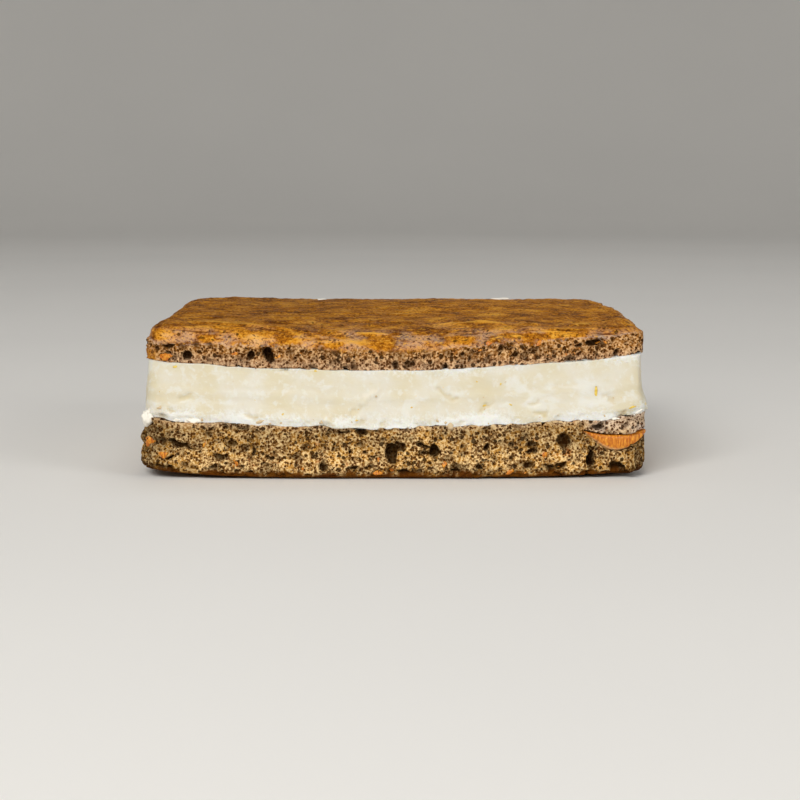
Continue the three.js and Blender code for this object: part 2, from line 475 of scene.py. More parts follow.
def cut(layer, pores, raggedness, seed):
    """Sinks pores into a layer's side, with ragged outlines."""
    dent = layer.wall_dent()
    drift = raggedness * waves(layer.wall_points, 1.1 * MM, seed, 2)
    lift = raggedness * waves(layer.wall_points, 1.1 * MM, seed + 50, 2)
    deep = np.zeros_like(dent)
    for row, column, wide, high, tilt, depth in pores:
        reach = int((1.2 * max(wide, high) + raggedness) / layer.gap) + 2
        rows = np.arange(max(row - reach, 0), min(row + reach + 1, layer.rows))
        columns = np.arange(column - reach, column + reach + 1)
        block = np.ix_(rows, columns % layer.columns)
        across = (columns - column) * layer.gap + drift[block]
        upward = (layer.rise[rows] - layer.rise[row])[:, None] + lift[block]
        a = (across * math.cos(tilt) + upward * math.sin(tilt)) / wide
        b = (upward * math.cos(tilt) - across * math.sin(tilt)) / high
        bowl = (1 - a**2 - b**2).clip(0, 1) ** 0.4
        if depth > 0:
            deep[block] = np.maximum(deep[block], depth * bowl)
        else:
            dent[block] += depth * bowl**2
    layer.set_wall_dent(dent + deep)
    return deep


def seat_line(points, amount, seed, fall=0):
    """How far up the uneven line between two layers lies, where they meet. It lies lower by
    the fall from the middle to the left end."""
    line = amount * waves(points * [1, 1, 0], 5 * MM, seed, 4)
    return line - fall * smooth_step(-points[..., 0], -18 * MM, 2 * MM)


def pull_left_end(layer, amounts):
    """Moves a side's left end in, by an amount for each row or point."""
    near = smooth_step(-layer.wall_points[..., 0], *LEFT_END)
    layer.points[layer.wall, 0] += (near * amounts).ravel()


def shift_seats(layer, lower=None, upper=None):
    """Moves a side's lowest and highest rows up and down, to the uneven lines of its seats.
    lower and upper are each an amount, a seed and, where one end lies lower, a fall."""
    for way, seat in ((-1, lower), (1, upper)):
        if seat:
            near = ((way * layer.up).clip(0, 1) ** 3)[:, None]
            layer.points[layer.wall, 2] += (near * seat_line(layer.wall_points, *seat)).ravel()
    layer.move_points()
    layer.read_directions()


# Materials


class Recipe:
    """The nodes of one material, round one Principled shader."""

    def __init__(self, name, **constants):
        self.material = bpy.data.materials.new(name)
        self.material.use_nodes = True
        tree = self.material.node_tree
        self.nodes = tree.nodes
        self.links = tree.links
        self.nodes.clear()
        self.surface = self.nodes.new("ShaderNodeBsdfPrincipled")
        end = self.nodes.new("ShaderNodeOutputMaterial")
        self.links.new(self.surface.outputs["BSDF"], end.inputs["Surface"])
        self.place = self.nodes.new("ShaderNodeTexCoord").outputs["Object"]
        for socket, value in constants.items():
            self.surface.inputs[socket].default_value = value

    def feed(self, socket, value):
        """Links an output to a socket, or sets the socket to a number or a colour."""
        if isinstance(value, bpy.types.NodeSocket):
            self.links.new(value, socket)
        else:
            socket.default_value = value

    def maths(self, operation, a, b=0.0):
        """One sum of two numbers or outputs."""
        node = self.nodes.new("ShaderNodeMath")
        node.operation = operation
        self.feed(node.inputs[0], a)
        self.feed(node.inputs[1], b)
        return node.outputs[0]

    def noise(self, size, detail=2.0, where=None, roughness=0.55):
        """Smooth noise whose patches are about as wide as size."""
        node = self.nodes.new("ShaderNodeTexNoise")
        node.inputs["Scale"].default_value = 1 / size
        node.inputs["Detail"].default_value = detail
        node.inputs["Roughness"].default_value = roughness
        self.feed(node.inputs["Vector"], where or self.place)
        return node.outputs["Fac"]

    def cells(self, size, where=None):
        """The distance to the middle of the nearest cell, in cells, and a number for each cell."""
        node = self.nodes.new("ShaderNodeTexVoronoi")
        node.inputs["Scale"].default_value = 1 / size
        self.feed(node.inputs["Vector"], where or self.place)
        split = self.nodes.new("ShaderNodeSeparateColor")
        self.links.new(node.outputs["Color"], split.inputs["Color"])
        return node.outputs["Distance"], split.outputs["Red"]

    def stretched(self, x, y, z):
        """The place, scaled along each axis."""
        node = self.nodes.new("ShaderNodeMapping")
        node.inputs["Scale"].default_value = (x, y, z)
        self.feed(node.inputs["Vector"], self.place)
        return node.outputs["Vector"]

    def warped(self, size, amount, where=None):
        """The place, pushed about by noise."""
        noise = self.nodes.new("ShaderNodeTexNoise")
        noise.inputs["Scale"].default_value = 1 / size
        self.feed(noise.inputs["Vector"], where or self.place)
        push = self.nodes.new("ShaderNodeVectorMath")
        push.operation = "MULTIPLY_ADD"
        self.links.new(noise.outputs["Color"], push.inputs[0])
        push.inputs[1].default_value = (amount, amount, amount)
        self.feed(push.inputs[2], where or self.place)
        return push.outputs["Vector"]

    def step(self, value, low, high, start=0.0, end=1.0):
        """A soft step of a value, from start at low to end at high."""
        node = self.nodes.new("ShaderNodeMapRange")
        node.interpolation_type = "SMOOTHSTEP"
        self.feed(node.inputs["Value"], value)
        self.feed(node.inputs["From Min"], low)
        self.feed(node.inputs["From Max"], high)
        self.feed(node.inputs["To Min"], start)
        self.feed(node.inputs["To Max"], end)
        return node.outputs["Result"]

    def ramp(self, value, *stops):
        """A colour for each value, from stops that are each a place and a colour."""
        node = self.nodes.new("ShaderNodeValToRGB")
        elements = node.color_ramp.elements
        while len(elements) < len(stops):
            elements.new(0.5)
        for element, (place, colour) in zip(elements, stops):
            element.position = place
            element.color = (*colour[:3], 1)
        self.feed(node.inputs["Fac"], value)
        return node.outputs["Color"]

    def mix(self, share, a, b):
        """Two colours, mixed by a share from 0 to 1."""
        node = self.nodes.new("ShaderNodeMix")
        node.data_type = "RGBA"
        self.feed(node.inputs["Factor"], share)
        for name, value in (("A", a), ("B", b)):
            socket = next(s for s in node.inputs if s.name == name and s.type == "RGBA")
            self.feed(socket, value if isinstance(value, bpy.types.NodeSocket) else (*value[:3], 1))
        return next(s for s in node.outputs if s.type == "RGBA")

    def noted(self, name):
        """A number that the mesh stores for each point."""
        node = self.nodes.new("ShaderNodeAttribute")
        node.attribute_name = name
        return node.outputs["Fac"]

    def bump(self, height, depth, strength=1.0, after=None):
        """A surface direction tilted by a height map, whose full range is depth metres."""
        node = self.nodes.new("ShaderNodeBump")
        node.inputs["Distance"].default_value = depth
        self.feed(node.inputs["Strength"], strength)
        self.feed(node.inputs["Height"], height)
        if after:
            self.links.new(after, node.inputs["Normal"])
        return node.outputs["Normal"]

    def set(self, **sockets):
        """Feeds the shader's colour, roughness and normal."""
        for name, value in sockets.items():
            self.feed(self.surface.inputs[name.replace("_", " ")], value)
        return self.material


def paint(red, green, blue):
    """A colour given as it looks on a screen, from 0 to 255, in linear light."""
    return tuple(
        c / 12.92 if c <= 0.04045 else ((c + 0.055) / 1.055) ** 2.4
        for c in (red / 255, green / 255, blue / 255)
    )


def crumb_layers(recipe, look):
    """The colour and the height of open cake crumb, with painted shade in its pores, fading out round
    them, and in its fine grain.
    """
    frosted = recipe.noted("pale")
    where = recipe.warped(0.7 * MM, 0.4 * MM)
    wide_distance, wide_number = recipe.cells(look.pore_size, where)
    fine_distance, fine_number = recipe.cells(look.pore_size * 0.5, where)
    wide_edge = recipe.step(wide_number, 0.3, 1.0, -0.2, 0.4)
    wide = recipe.step(wide_distance, wide_edge, recipe.maths("ADD", wide_edge, 0.1), 1.0, 0.0)
    fine_edge = recipe.step(fine_number, 0.15, 1.0, -0.1, 0.46)
    fine = recipe.step(fine_distance, fine_edge, recipe.maths("ADD", fine_edge, 0.18), 1.0, 0.0)
    pores = recipe.maths("MAXIMUM", wide, recipe.maths("MULTIPLY", fine, 0.8))
    grain = recipe.noise(0.45 * MM, 2.0, roughness=0.6)
    patches = recipe.noise(4 * MM, 4.0)
    golden = recipe.mix(recipe.step(patches, 0.42, 0.58), look.grey_crumb, look.golden_crumb)
    shaded = recipe.step(recipe.noise(2.4 * MM, 3.0), 0.54, 0.7, 0.0, 0.4)
    walls = recipe.maths("ADD", grain, recipe.step(fine_distance, 0.2, 0.6, -0.09, 0.07))
    pale = recipe.mix(recipe.step(walls, 0.47, 0.65), golden, look.pale_crumb)
    pale = recipe.mix(frosted, pale, look.frosted_crumb)
    # painted shade: the low spots of the fine grain darken toward the painted shade colour
    grain_shaded = recipe.mix(recipe.step(grain, 0.3, 0.48, 0.4, 0.0), pale, look.painted_shade_colour)
    shreds = recipe.step(recipe.noise(1.9 * MM, 2.0, where), 0.66, 0.74)
    orange = recipe.mix(recipe.maths("MULTIPLY", shreds, 0.5), grain_shaded, look.shred_colour)
    # painted shade that fades out round the fine pores
    rims = recipe.step(fine_distance, fine_edge, recipe.maths("ADD", fine_edge, 0.36), 0.75, 0.0)
    warm = recipe.mix(rims, orange, look.pore_rim_shade)
    # painted shade: the pores darken where light can't reach into them
    dark = recipe.mix(recipe.maths("MULTIPLY", pores, 0.9), warm, look.painted_shade_colour)
    dark = recipe.mix(shaded, dark, look.painted_shade_colour)
    height = recipe.maths("SUBTRACT", recipe.maths("MULTIPLY", grain, 0.45), pores)
    return dark, height


def crust_layers(recipe, look):
    """The colour and the height of a baked crust, with painted glints on its pale specks and painted
    shade in its pits.
    """
    where = recipe.warped(3 * MM, 2.2 * MM)
    patches = recipe.noise(5 * MM, 7.0, where, 0.7)
    colour = recipe.ramp(
        patches,
        (0.37, look.dark_crust_and_shade),
        (0.48, look.crust),
        (0.56, look.gold_crust),
        (0.68, look.pale_crust_and_highlight),
    )
    blushes = recipe.step(recipe.noise(2.2 * MM, 5.0, recipe.stretched(0.4, 0.4, 1)), 0.45, 0.62)
    blush = recipe.maths("MULTIPLY", recipe.noted("pale"), recipe.maths("MULTIPLY", blushes, 0.32))
    colour = recipe.mix(blush, colour, look.frosted_crumb)
    speckle = recipe.noise(0.38 * MM, 3.0, recipe.stretched(0.75, 0.75, 1), 0.75)
    colour = recipe.mix(recipe.step(speckle, 0.37, 0.48, 0.9, 0.0), colour, look.dark_crust_and_shade)
    # pale specks: partly the crust's golden grain, partly painted glints
    colour = recipe.mix(recipe.step(speckle, 0.54, 0.64, 0.0, 0.8), colour, look.pale_crust_and_highlight)
    distance, number = recipe.cells(0.8 * MM, where)
    edge = recipe.step(number, 0.6, 1.0, -0.3, 0.34)
    pits = recipe.step(distance, edge, recipe.maths("ADD", edge, 0.14), 1.0, 0.0)
    # painted shade: the fine pits darken where light can't reach into them
    colour = recipe.mix(recipe.maths("MULTIPLY", pits, 0.7), colour, look.painted_shade_colour)
    height = recipe.maths("SUBTRACT", recipe.maths("MULTIPLY", speckle, 0.6), pits)
    return colour, height


def cake_material(name, look):
    """Open crumb where the cake is cut and a browned crust where it was baked, with painted shade in
    the pores, pits and creases, at the shaded corners, foot and back, and painted highlights on the
    crust's ridges and specks.
    """
    recipe = Recipe(name, **{"Specular IOR Level": look.gloss, "IOR": 1.42})
    crumb, crumb_height = crumb_layers(recipe, look)
    crust, crust_height = crust_layers(recipe, look)
    baked = recipe.noted("crust")
    hollow = recipe.noted("hollow")
    relief = recipe.noted("relief")
    # painted highlight on the crust's ridges, and painted shade in its creases and along the lower
    # sheet's foot
    crust = recipe.mix(recipe.step(relief, 0.5, 1.4, 0.0, 0.7), crust, look.pale_crust_and_highlight)
    crust = recipe.mix(recipe.step(relief, -0.2, -1.3, 0.0, 0.85), crust, look.dark_crust_and_shade)
    colour = recipe.mix(baked, crumb, crust)
    # painted shade: the sheets darker at their corners and foot, higher up on the lower sheet, and
    # toward the back and the left, where less light falls
    colour = recipe.mix(recipe.noted("painted_shade"), colour, look.painted_shade_colour)
    # painted shade: the deep pores cut into the side darken by their depth
    colour = recipe.mix(recipe.step(hollow, 0.1, 1.0, 0.0, 0.93), colour, look.painted_shade_colour)
    fine_crust = recipe.maths("MULTIPLY", crust_height, baked)
    fine_crumb = recipe.maths("MULTIPLY", crumb_height, recipe.maths("SUBTRACT", 1.0, baked))
    fine = recipe.maths("ADD", fine_crust, fine_crumb)
    rough = recipe.step(baked, 0.0, 1.0, look.crumb_roughness, look.crust_roughness)
    rough = recipe.maths("ADD", rough, recipe.step(relief, 0.3, 1.2, 0.0, -0.15))
    wear = recipe.step(recipe.noise(1.6 * MM, 3.0), 0.3, 0.7, -0.08, 0.12)
    return recipe.set(
        Base_Color=colour,
        Roughness=recipe.maths("ADD", rough, wear),
        Normal=recipe.bump(fine, 0.22 * MM),
    )


def ice_cream_material(look):
    """Dense, pale ice cream: smooth where it was cut, whiter and frosty at its seats."""
    constants = {
        "Subsurface Weight": 0.35,
        "Subsurface Radius": (1.0, 0.8, 0.5),
        "Subsurface Scale": 1.6 * MM,
        "Specular IOR Level": 0.35,
    }
    recipe = Recipe("ice_cream", **constants)
    streaks = recipe.noise(3.4 * MM, 5.0, recipe.warped(4 * MM, 3 * MM, recipe.stretched(0.6, 0.6, 1)))
    patches = recipe.noise(9 * MM, 2.0)
    colour = recipe.mix(recipe.step(patches, 0.35, 0.68), look.cream, look.yellow_cream)
    colour = recipe.mix(recipe.step(streaks, 0.5, 0.66, 0.0, 0.7), colour, look.white_cream)
    mottles = recipe.noise(1.3 * MM, 4.0, recipe.warped(2 * MM, 1 * MM), 0.6)
    colour = recipe.mix(recipe.step(mottles, 0.52, 0.66, 0.0, 0.6), colour, look.white_cream)
    colour = recipe.mix(recipe.step(mottles, 0.32, 0.42, 0.4, 0.0), colour, look.yellow_cream)
    frost = recipe.noted("frost")
    grain = recipe.noise(0.5 * MM, 4.0, roughness=0.65)
    ragged = recipe.maths("ADD", frost, recipe.step(grain, 0.3, 0.7, -0.25, 0.25))
    frosty = recipe.step(ragged, 0.3, 1.0)
    colour = recipe.mix(frosty, colour, look.frost)
    colour = recipe.mix(recipe.step(recipe.noted("hollow"), 0.0, 1.0, 0.0, 0.75), colour, look.shade)
    fine = recipe.maths("MULTIPLY", grain, recipe.step(frosty, 0.0, 1.0, 0.18, 1.0))
    bump = recipe.bump(fine, 0.1 * MM)
    bump = recipe.bump(streaks, 0.35 * MM, 0.5, bump)
    return recipe.set(
        Base_Color=colour,
        Roughness=recipe.step(frosty, 0.0, 1.0, look.roughness, 0.75),
        Normal=bump,
    )


def carrot_material(name, look):
    """Moist carrot with fine fibres and a paler rim."""
    constants = {
        "Subsurface Weight": 0.08,
        "Subsurface Radius": (1.0, 0.4, 0.1),
        "Subsurface Scale": 1 * MM,
    }
    recipe = Recipe(name, **constants)
    fibres = recipe.noise(0.3 * MM, 3.0, recipe.stretched(1, 1, 0.28))
    patches = recipe.noise(1.8 * MM, 3.0)
    colour = recipe.ramp(fibres, (0.32, look.dark), (0.5, look.flesh), (0.68, look.pale))
    colour = recipe.mix(recipe.step(patches, 0.5, 0.7, 0.0, 0.5), colour, look.dark)
    colour = recipe.mix(recipe.noted("rim"), colour, look.rim)
    return recipe.set(
        Base_Color=colour,
        Roughness=recipe.step(fibres, 0.3, 0.7, 0.3, 0.55),
        Normal=recipe.bump(fibres, 0.12 * MM),
    )


def zest_material(look):
    """Bright, slightly uneven zest."""
    recipe = Recipe("zest", **{"Roughness": 0.4})
    patches = recipe.noise(0.6 * MM, 3.0)
    colour = recipe.ramp(patches, (0.35, look.deep), (0.65, look.bright))
    return recipe.set(Base_Color=colour, Normal=recipe.bump(patches, 0.1 * MM))


# Small things on the layers

BALLS = {}


def ball(detail):
    """The points and the faces of a ball of radius 1."""
    if detail not in BALLS:
        made = bmesh.new()
        bmesh.ops.create_icosphere(made, subdivisions=detail, radius=1)
        points = np.array([vertex.co for vertex in made.verts])
        faces = np.array([[vertex.index for vertex in face.verts] for face in made.faces])
        made.free()
        BALLS[detail] = points, faces
    return BALLS[detail]


def lumps(name, places, detail, unevenness, seed):
    """One piece of many uneven lumps. Each place is a middle and three half axes, as rows."""
    round_points, round_faces = ball(detail)
    points = []
    faces = []
    for i, (middle, axes) in enumerate(places):
        swell = 1 + unevenness * waves(round_points + 9.1 * i, 0.9, seed, 2)
        faces.append(round_faces + i * len(round_points))
        points.append(middle + (round_points * swell[:, None]) @ axes)
    return piece_of(name, np.concatenate(points).tolist(), np.concatenate(faces).tolist())


def on_side(layer, row, column, long, wide, thick, tilt, sunk):
    """The middle and half axes of a lump that lies on a layer's side, sunk into it."""
    row = min(max(row, 1), layer.rows - 2)
    column %= layer.columns
    normal = layer.wall_normals[row, column]
    along = layer.wall_points[row, (column + 1) % layer.columns]
    along = along - layer.wall_points[row, column - 1]
    along = along - normal * (along @ normal)
    along /= np.linalg.norm(along)
    upward = np.cross(normal, along)
    a = along * math.cos(tilt) + upward * math.sin(tilt)
    b = upward * math.cos(tilt) - along * math.sin(tilt)
    middle = layer.wall_points[row, column] - normal * sunk
    return middle, np.array([a * long, b * wide, normal * thick])


def scattered_on(layer, count, sizes, rows, seed, sunk=0.3):
    """Places for lumps all round a side. sizes are the smallest and largest half length, and the
    width and thickness as shares of it. rows are the lowest and highest share of the side."""
    rng = np.random.default_rng(seed)
    side = layer.side_rows()
    places = []
    for _ in range(count):
        long = sizes[0] * (sizes[1] / sizes[0]) ** (rng.random() ** 1.6)
        row = side[int((len(side) - 1) * rng.uniform(*rows))]
        column = int(rng.integers(layer.columns))
        wide = long * sizes[2] * rng.uniform(0.7, 1.3)
        thick = long * sizes[3] * rng.uniform(0.7, 1.3)
        tilt = rng.uniform(0, TAU)
        places.append(on_side(layer, row, column, long, wide, thick, tilt, sunk * thick))
    return places


def set_by_hand(layer, things, thickness, sunk=0.3):
    """Places for lumps on the front side, each given by its middle's x and z, its length, its
    width and its tilt, in millimetres and radians. thickness is a share of the width."""
    places = []
    for x, z, length, width, tilt in things:
        row, column = layer.nearest(x * MM, z * MM)
        thick = thickness * width * MM / 2
        half = (length / 2 * MM, width / 2 * MM, thick)
        places.append(on_side(layer, row, column, *half, tilt, sunk * thick))
    return places


# The slice of carrot


def crescent_edges(look, x):
    """The heights of the carrot's lower and upper edges at x, in the cake's front face."""
    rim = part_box("carrot_slice")[1][2]
    across = ((x - look.middle) / (look.width / 2)).clip(-1, 1)
    bow = 1 - across**2
    return rim - look.tip - look.hang * bow**1.4, rim - look.sag * bow


def in_crescent(look, points, margin):
    """Whether points of the cake's side lie on the slice of carrot."""
    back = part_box("carrot_slice")[1][1]
    bottom, top = crescent_edges(look, points[..., 0])
    level = (points[..., 2] > bottom - margin) & (points[..., 2] < top + margin)
    beyond = points[..., 0] > look.middle - look.width / 2 - margin
    return level & beyond & (points[..., 1] < back + margin)


def over_crescent(look, points, height):
    """How near points lie to the upper edge of the slice of carrot, from above: 0 to 1."""
    top = crescent_edges(look, points[..., 0])[1]
    away = points[..., 2] - top
    start = look.middle - 0.6 * look.width
    near = smooth_step(-away, -height, -0.2 * MM) * (away > 0)
    near = near * smooth_step(points[..., 0], start, start + 0.3 * look.width)
    return near * (points[..., 1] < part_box("carrot_slice")[1][1])


def carrot_piece(look, cake_tree):
    """The crescent, from its left tip round the cake's corner to its end on the right side."""
    low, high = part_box("carrot_slice")
    around = 28
    stations = 150
    start = Vector((look.middle - look.width / 2, low[1]))
    end = Vector((high[0], high[1]))
    angles = np.linspace(math.atan2(start.y, start.x), math.atan2(end.y, end.x), stations)
    pivot = Vector((0, 0, (low[2] + high[2]) / 2))
    points = []
    rims = []
    for i, angle in enumerate(angles):
        out = Vector((math.cos(angle), math.sin(angle), 0))
        edge = out * (reach_of(cake_tree, pivot, out) - 0.08 * MM)
        bottom, top = crescent_edges(look, np.array(edge.x))
        ends = min(1, (i + 0.2) / 6, (stations - 1 - i + 0.2) / 40) ** 0.5
        middle = (bottom + top) / 2
        half = (top - bottom) / 2 * ends
        for j in range(around):
            turn = TAU * j / around
            depth = look.thickness / 2 * (1 - np.sign(math.cos(turn)) * abs(math.cos(turn)) ** 0.45)
            upward = np.sign(math.sin(turn)) * abs(math.sin(turn)) ** 0.6
            place = edge - out * depth
            points.append((place.x, place.y, middle + half * upward))
            rims.append(smooth_step(np.array(-upward), 0.62, 0.95) * (depth < 0.5 * look.thickness))
    points = np.array(points)
    points[:, :2] *= 1 + 0.0011 * waves(points, 0.7 * MM, 5, 2)[:, None]
    faces = faces_between(stations, around)
    faces.append(list(range(around)))
    faces.append(list(range((stations - 1) * around, stations * around))[::-1])
    piece = piece_of("carrot_crescent", points.tolist(), faces)
    piece.data.attributes.new("rim", "FLOAT", "POINT").data.foreach_set("value", rims)
    return piece


# The layers

# The height where each layer's outline is measured, half the layer's height, and how far apart
# the points lie on its side and on its underside and top
LOWER_GRID = (5 * MM, 5 * MM, 0.25 * MM, (1.4 * MM, 4 * MM))
ICE_CREAM_GRID = (15 * MM, 5.2 * MM, 0.29 * MM, (4 * MM, 4 * MM))
UPPER_GRID = (23 * MM, 3.4 * MM, 0.25 * MM, (4 * MM, 0.5 * MM))
HIDDEN = (0.3 * MM, 1.2 * MM, 3 * MM, INSIDE)  # insets of the rows of a face that is covered
UNDER_MIDDLE = -2  # where a layer's points hold the middle of its underside
LOWER_SEAT_SEED = 3
UPPER_SEAT_SEED = 4
UPPER_SEAT_FALL = 0.45 * MM  # how much lower the upper seat lies on the left
UPPER_SEAT_SHARE = 0.4  # how uneven the upper seat is, as a share of the lower one
SLICE_BED = 1.6 * MM  # how deep the carrot slice's bed in the crumb is
NOTCH_HEIGHT = 5.6 * MM  # where the lower sheet's left corner is notched
LAYERS = {}

# Holes of the front, by their middle's x and z, width, height, tilt and depth
LOWER_HOLES = [
    (-0.5, 4.5, 2.5, 3.8, 0.1, 2.8),
    (7.0, 4.8, 2.0, 2.8, 0.0, 2.8),
    (4.8, 6.0, 2.8, 0.8, -0.1, 1.4),
    (16.4, 5.7, 1.6, 1.4, 0.2, 1.4),
    (24.6, 4.9, 2.2, 1.3, 0.2, 1.6),
    (30.1, 6.7, 2.6, 2.9, 0.0, 1.5),
    (35.0, 3.5, 1.8, 2.8, 0.0, 2.4),
    (-37.5, 6.0, 6.2, 1.1, -0.28, 1.4),
    (-40.1, 3.6, 2.2, 0.8, 0.1, 1.4),
    (-25.0, 5.0, 0.8, 1.8, 0.1, 1.4),
    (-22.1, 3.8, 1.8, 0.7, 0.1, 1.2),
    (-7.7, 4.8, 1.3, 1.0, 0.3, 1.2),
    (-5.1, 4.7, 1.1, 1.0, 0.0, 1.2),
    (-3.6, 3.6, 1.2, 0.9, 0.4, 1.2),
    (-7.3, 2.1, 1.5, 0.9, 0.0, 1.2),
    (-9.0, 8.4, 2.9, 0.7, 0.1, 1.3),
    (-26.8, 8.9, 2.8, 0.6, 0.15, 1.0),
    (20.9, 3.9, 1.3, 0.9, 0.3, 1.0),
    (10.6, 2.9, 1.2, 0.8, 0.0, 1.0),
    (-14.2, 4.1, 1.3, 0.8, 0.3, 1.0),
    (-31.8, 3.9, 1.4, 0.9, -0.3, 1.0),
]
UPPER_HOLES = [
    (-22.1, 22.1, 1.8, 2.3, 0.0, 2.6),
    (-25.3, 21.9, 1.5, 1.4, 0.0, 1.6),
    (-36.6, 21.9, 1.9, 1.5, 0.0, 1.8),
    (-40.2, 23.5, 3.0, 0.7, 0.1, 1.2),
    (35.3, 24.2, 2.8, 1.2, 0.1, 1.8),
    (13.1, 21.7, 0.9, 1.3, 0.0, 1.0),
    (16.8, 21.9, 0.9, 1.1, 0.0, 1.0),
    (21.5, 22.2, 1.5, 1.1, 0.2, 1.0),
    (-8.0, 21.1, 1.2, 0.8, 0.0, 0.8),
    (28.2, 22.7, 1.0, 0.8, 0.0, 0.8),
]
# Chips (sunk) and smears (raised) of the ice cream's front
ICE_CREAM_MARKS = [
    (-37.0, 14.5, 3.2, 1.2, 0.6, 0.35),
    (-39.4, 12.2, 1.5, 1.0, 0.3, 0.4),
    (-4.6, 14.7, 5.5, 1.4, 0.85, -0.3),
    (-6.5, 12.6, 4.0, 1.0, 0.7, 0.25),
    (9.2, 15.0, 4.5, 1.2, -0.5, 0.3),
    (16.3, 12.8, 3.5, 0.8, 0.4, 0.35),
    (24.9, 13.6, 2.6, 0.9, 0.3, 0.3),
    (-25.1, 11.1, 4.2, 0.8, -0.2, 0.35),
    (-11.3, 10.1, 3.0, 1.4, -0.3, -0.45),
    (37.8, 14.2, 3.4, 0.9, -0.6, 0.3),
]


def lift_of(layer):
    """How far above the side's lowest row each point of a side lies."""
    first = np.flatnonzero(layer.up > -ON_FACE)[0]
    return layer.wall_points[..., 2] - layer.wall_points[first][:, 2]


def crumble_left_end(layer):
    """Wears the lower sheet's left end away at its top, and cuts a notch halfway up its corner."""
    wall = layer.wall_points
    notch = np.exp(-(((wall[..., 2] - NOTCH_HEIGHT) / (0.8 * MM)) ** 2))
    notch = notch * (wall[..., 1] < -25 * MM)
    worn = smooth_step(layer.up, 0.2, 1)[:, None]
    pull_left_end(layer, (1.4 * worn + 0.8 * notch) * MM)


def frosted_share(layer, carrot, seat):
    """How much ice cream is in the lower sheet's crumb: at its seat, most over the carrot."""
    wall = layer.wall_points
    above = smooth_step(wall[..., 2], 8.2 * MM, 9.6 * MM) * smooth_step(wall[..., 0], 32 * MM, 38 * MM)
    smeared = over_crescent(carrot, wall, 2 * MM) * (0.8 + 0.4 * waves(wall, 1.5 * MM, 9, 2))
    return (0.65 * above + 0.3 * seat + 0.8 * smeared).clip(0, 1)


def painted_shade_share(layer, lift):
    """How much painted shade darkens the lower sheet's crumb: at its foot and corners, and a little
    higher up.
    """
    wall = layer.wall_points
    corners = smooth_step(abs(wall[..., 0]), 37 * MM, 45 * MM)
    corners = corners * smooth_step(abs(wall[..., 1]), 34 * MM, 42 * MM)
    higher = 0.3 * smooth_step(wall[..., 2], 3 * MM, 8 * MM) * (1 + 0.6 * waves(wall, 5 * MM, 10, 2))
    foot = 1 - smooth_step(lift, 0.5 * MM, 1.7 * MM)
    return (higher + 0.55 * corners + 0.4 * foot).clip(0, 0.7)


def lower_cake_layer(look, carrot):
    """The lower sheet: open crumb all round, browned underneath."""
    edge = (*np.arange(0.3, 2.0, 0.3) * MM, 2.8 * MM, 3.8 * MM, INSIDE)
    tree = solid_tree("lower_cake", "carrot_slice")
    layer = Layer(tree, *LOWER_GRID, under=edge, over=HIDDEN, seats=(1,))
    crumble_left_end(layer)
    shift_seats(layer, upper=(look.seat_raggedness, LOWER_SEAT_SEED))
    wall = layer.wall_points
    lift = lift_of(layer) + 0.8 * MM * waves(wall, 2 * MM, 8, 3)
    baked = 1 - smooth_step(lift, 0.1 * MM, 0.6 * MM)
    crust = layer.on_wall(baked)
    crust[: layer.wall.start] = 1
    crust[UNDER_MIDDLE] = 1
    relief = waves(layer.points, 4 * MM, 21, 3)
    # painted shadow along the foot: the baked strip is pushed to the dark crust colour, for the shade
    # under the sheet
    relief[layer.wall] -= 5 * baked.ravel()
    uneven = 0.2 * waves(layer.points, 6 * MM, 22, 2) + 0.13 * waves(layer.points, 1.7 * MM, 23, 3)
    seat = smooth_step(layer.up, 0.8, 1)[:, None]
    layer.dent = ((0.22 + uneven) * (1 - 0.6 * crust)).clip(0.05) * MM
    layer.set_wall_dent(layer.wall_dent() * (1 - 0.75 * seat))
    pores = random_pores(layer, look.pores, 0.24 * MM, 0.95 * MM, 3.0, 1)
    pores += placed_pores(layer, LOWER_HOLES)
    deep = cut(layer, pores, 0.3 * MM, 31)
    slice_here = in_crescent(carrot, wall, 0.15 * MM)
    layer.set_wall_dent(np.where(slice_here, SLICE_BED, layer.wall_dent()))
    pale = frosted_share(layer, carrot, seat)
    # painted shade at the foot, the corners and higher up, less where ice cream is in the crumb
    layer.note("painted_shade", layer.on_wall(painted_shade_share(layer, lift) * (1 - pale)))
    layer.note("crust", crust)
    layer.note("hollow", layer.on_wall((deep / (1.3 * MM)).clip(0, 1)))
    layer.note("relief", relief * 0.4)
    layer.note("pale", layer.on_wall(pale))
    return layer


def lean_ends(layer):
    """Leans the ice cream's two ends inward at their top."""
    x = layer.wall_points[..., 0]
    right = smooth_step(x, 43 * MM, 46 * MM) * smooth_step(layer.up, -0.95, 0)[:, None]
    left = smooth_step(-x, 43 * MM, 46 * MM) * smooth_step(layer.up, -0.4, 1)[:, None]
    layer.points[layer.wall, 0] -= ((1.0 * right - 0.8 * left) * MM).ravel()


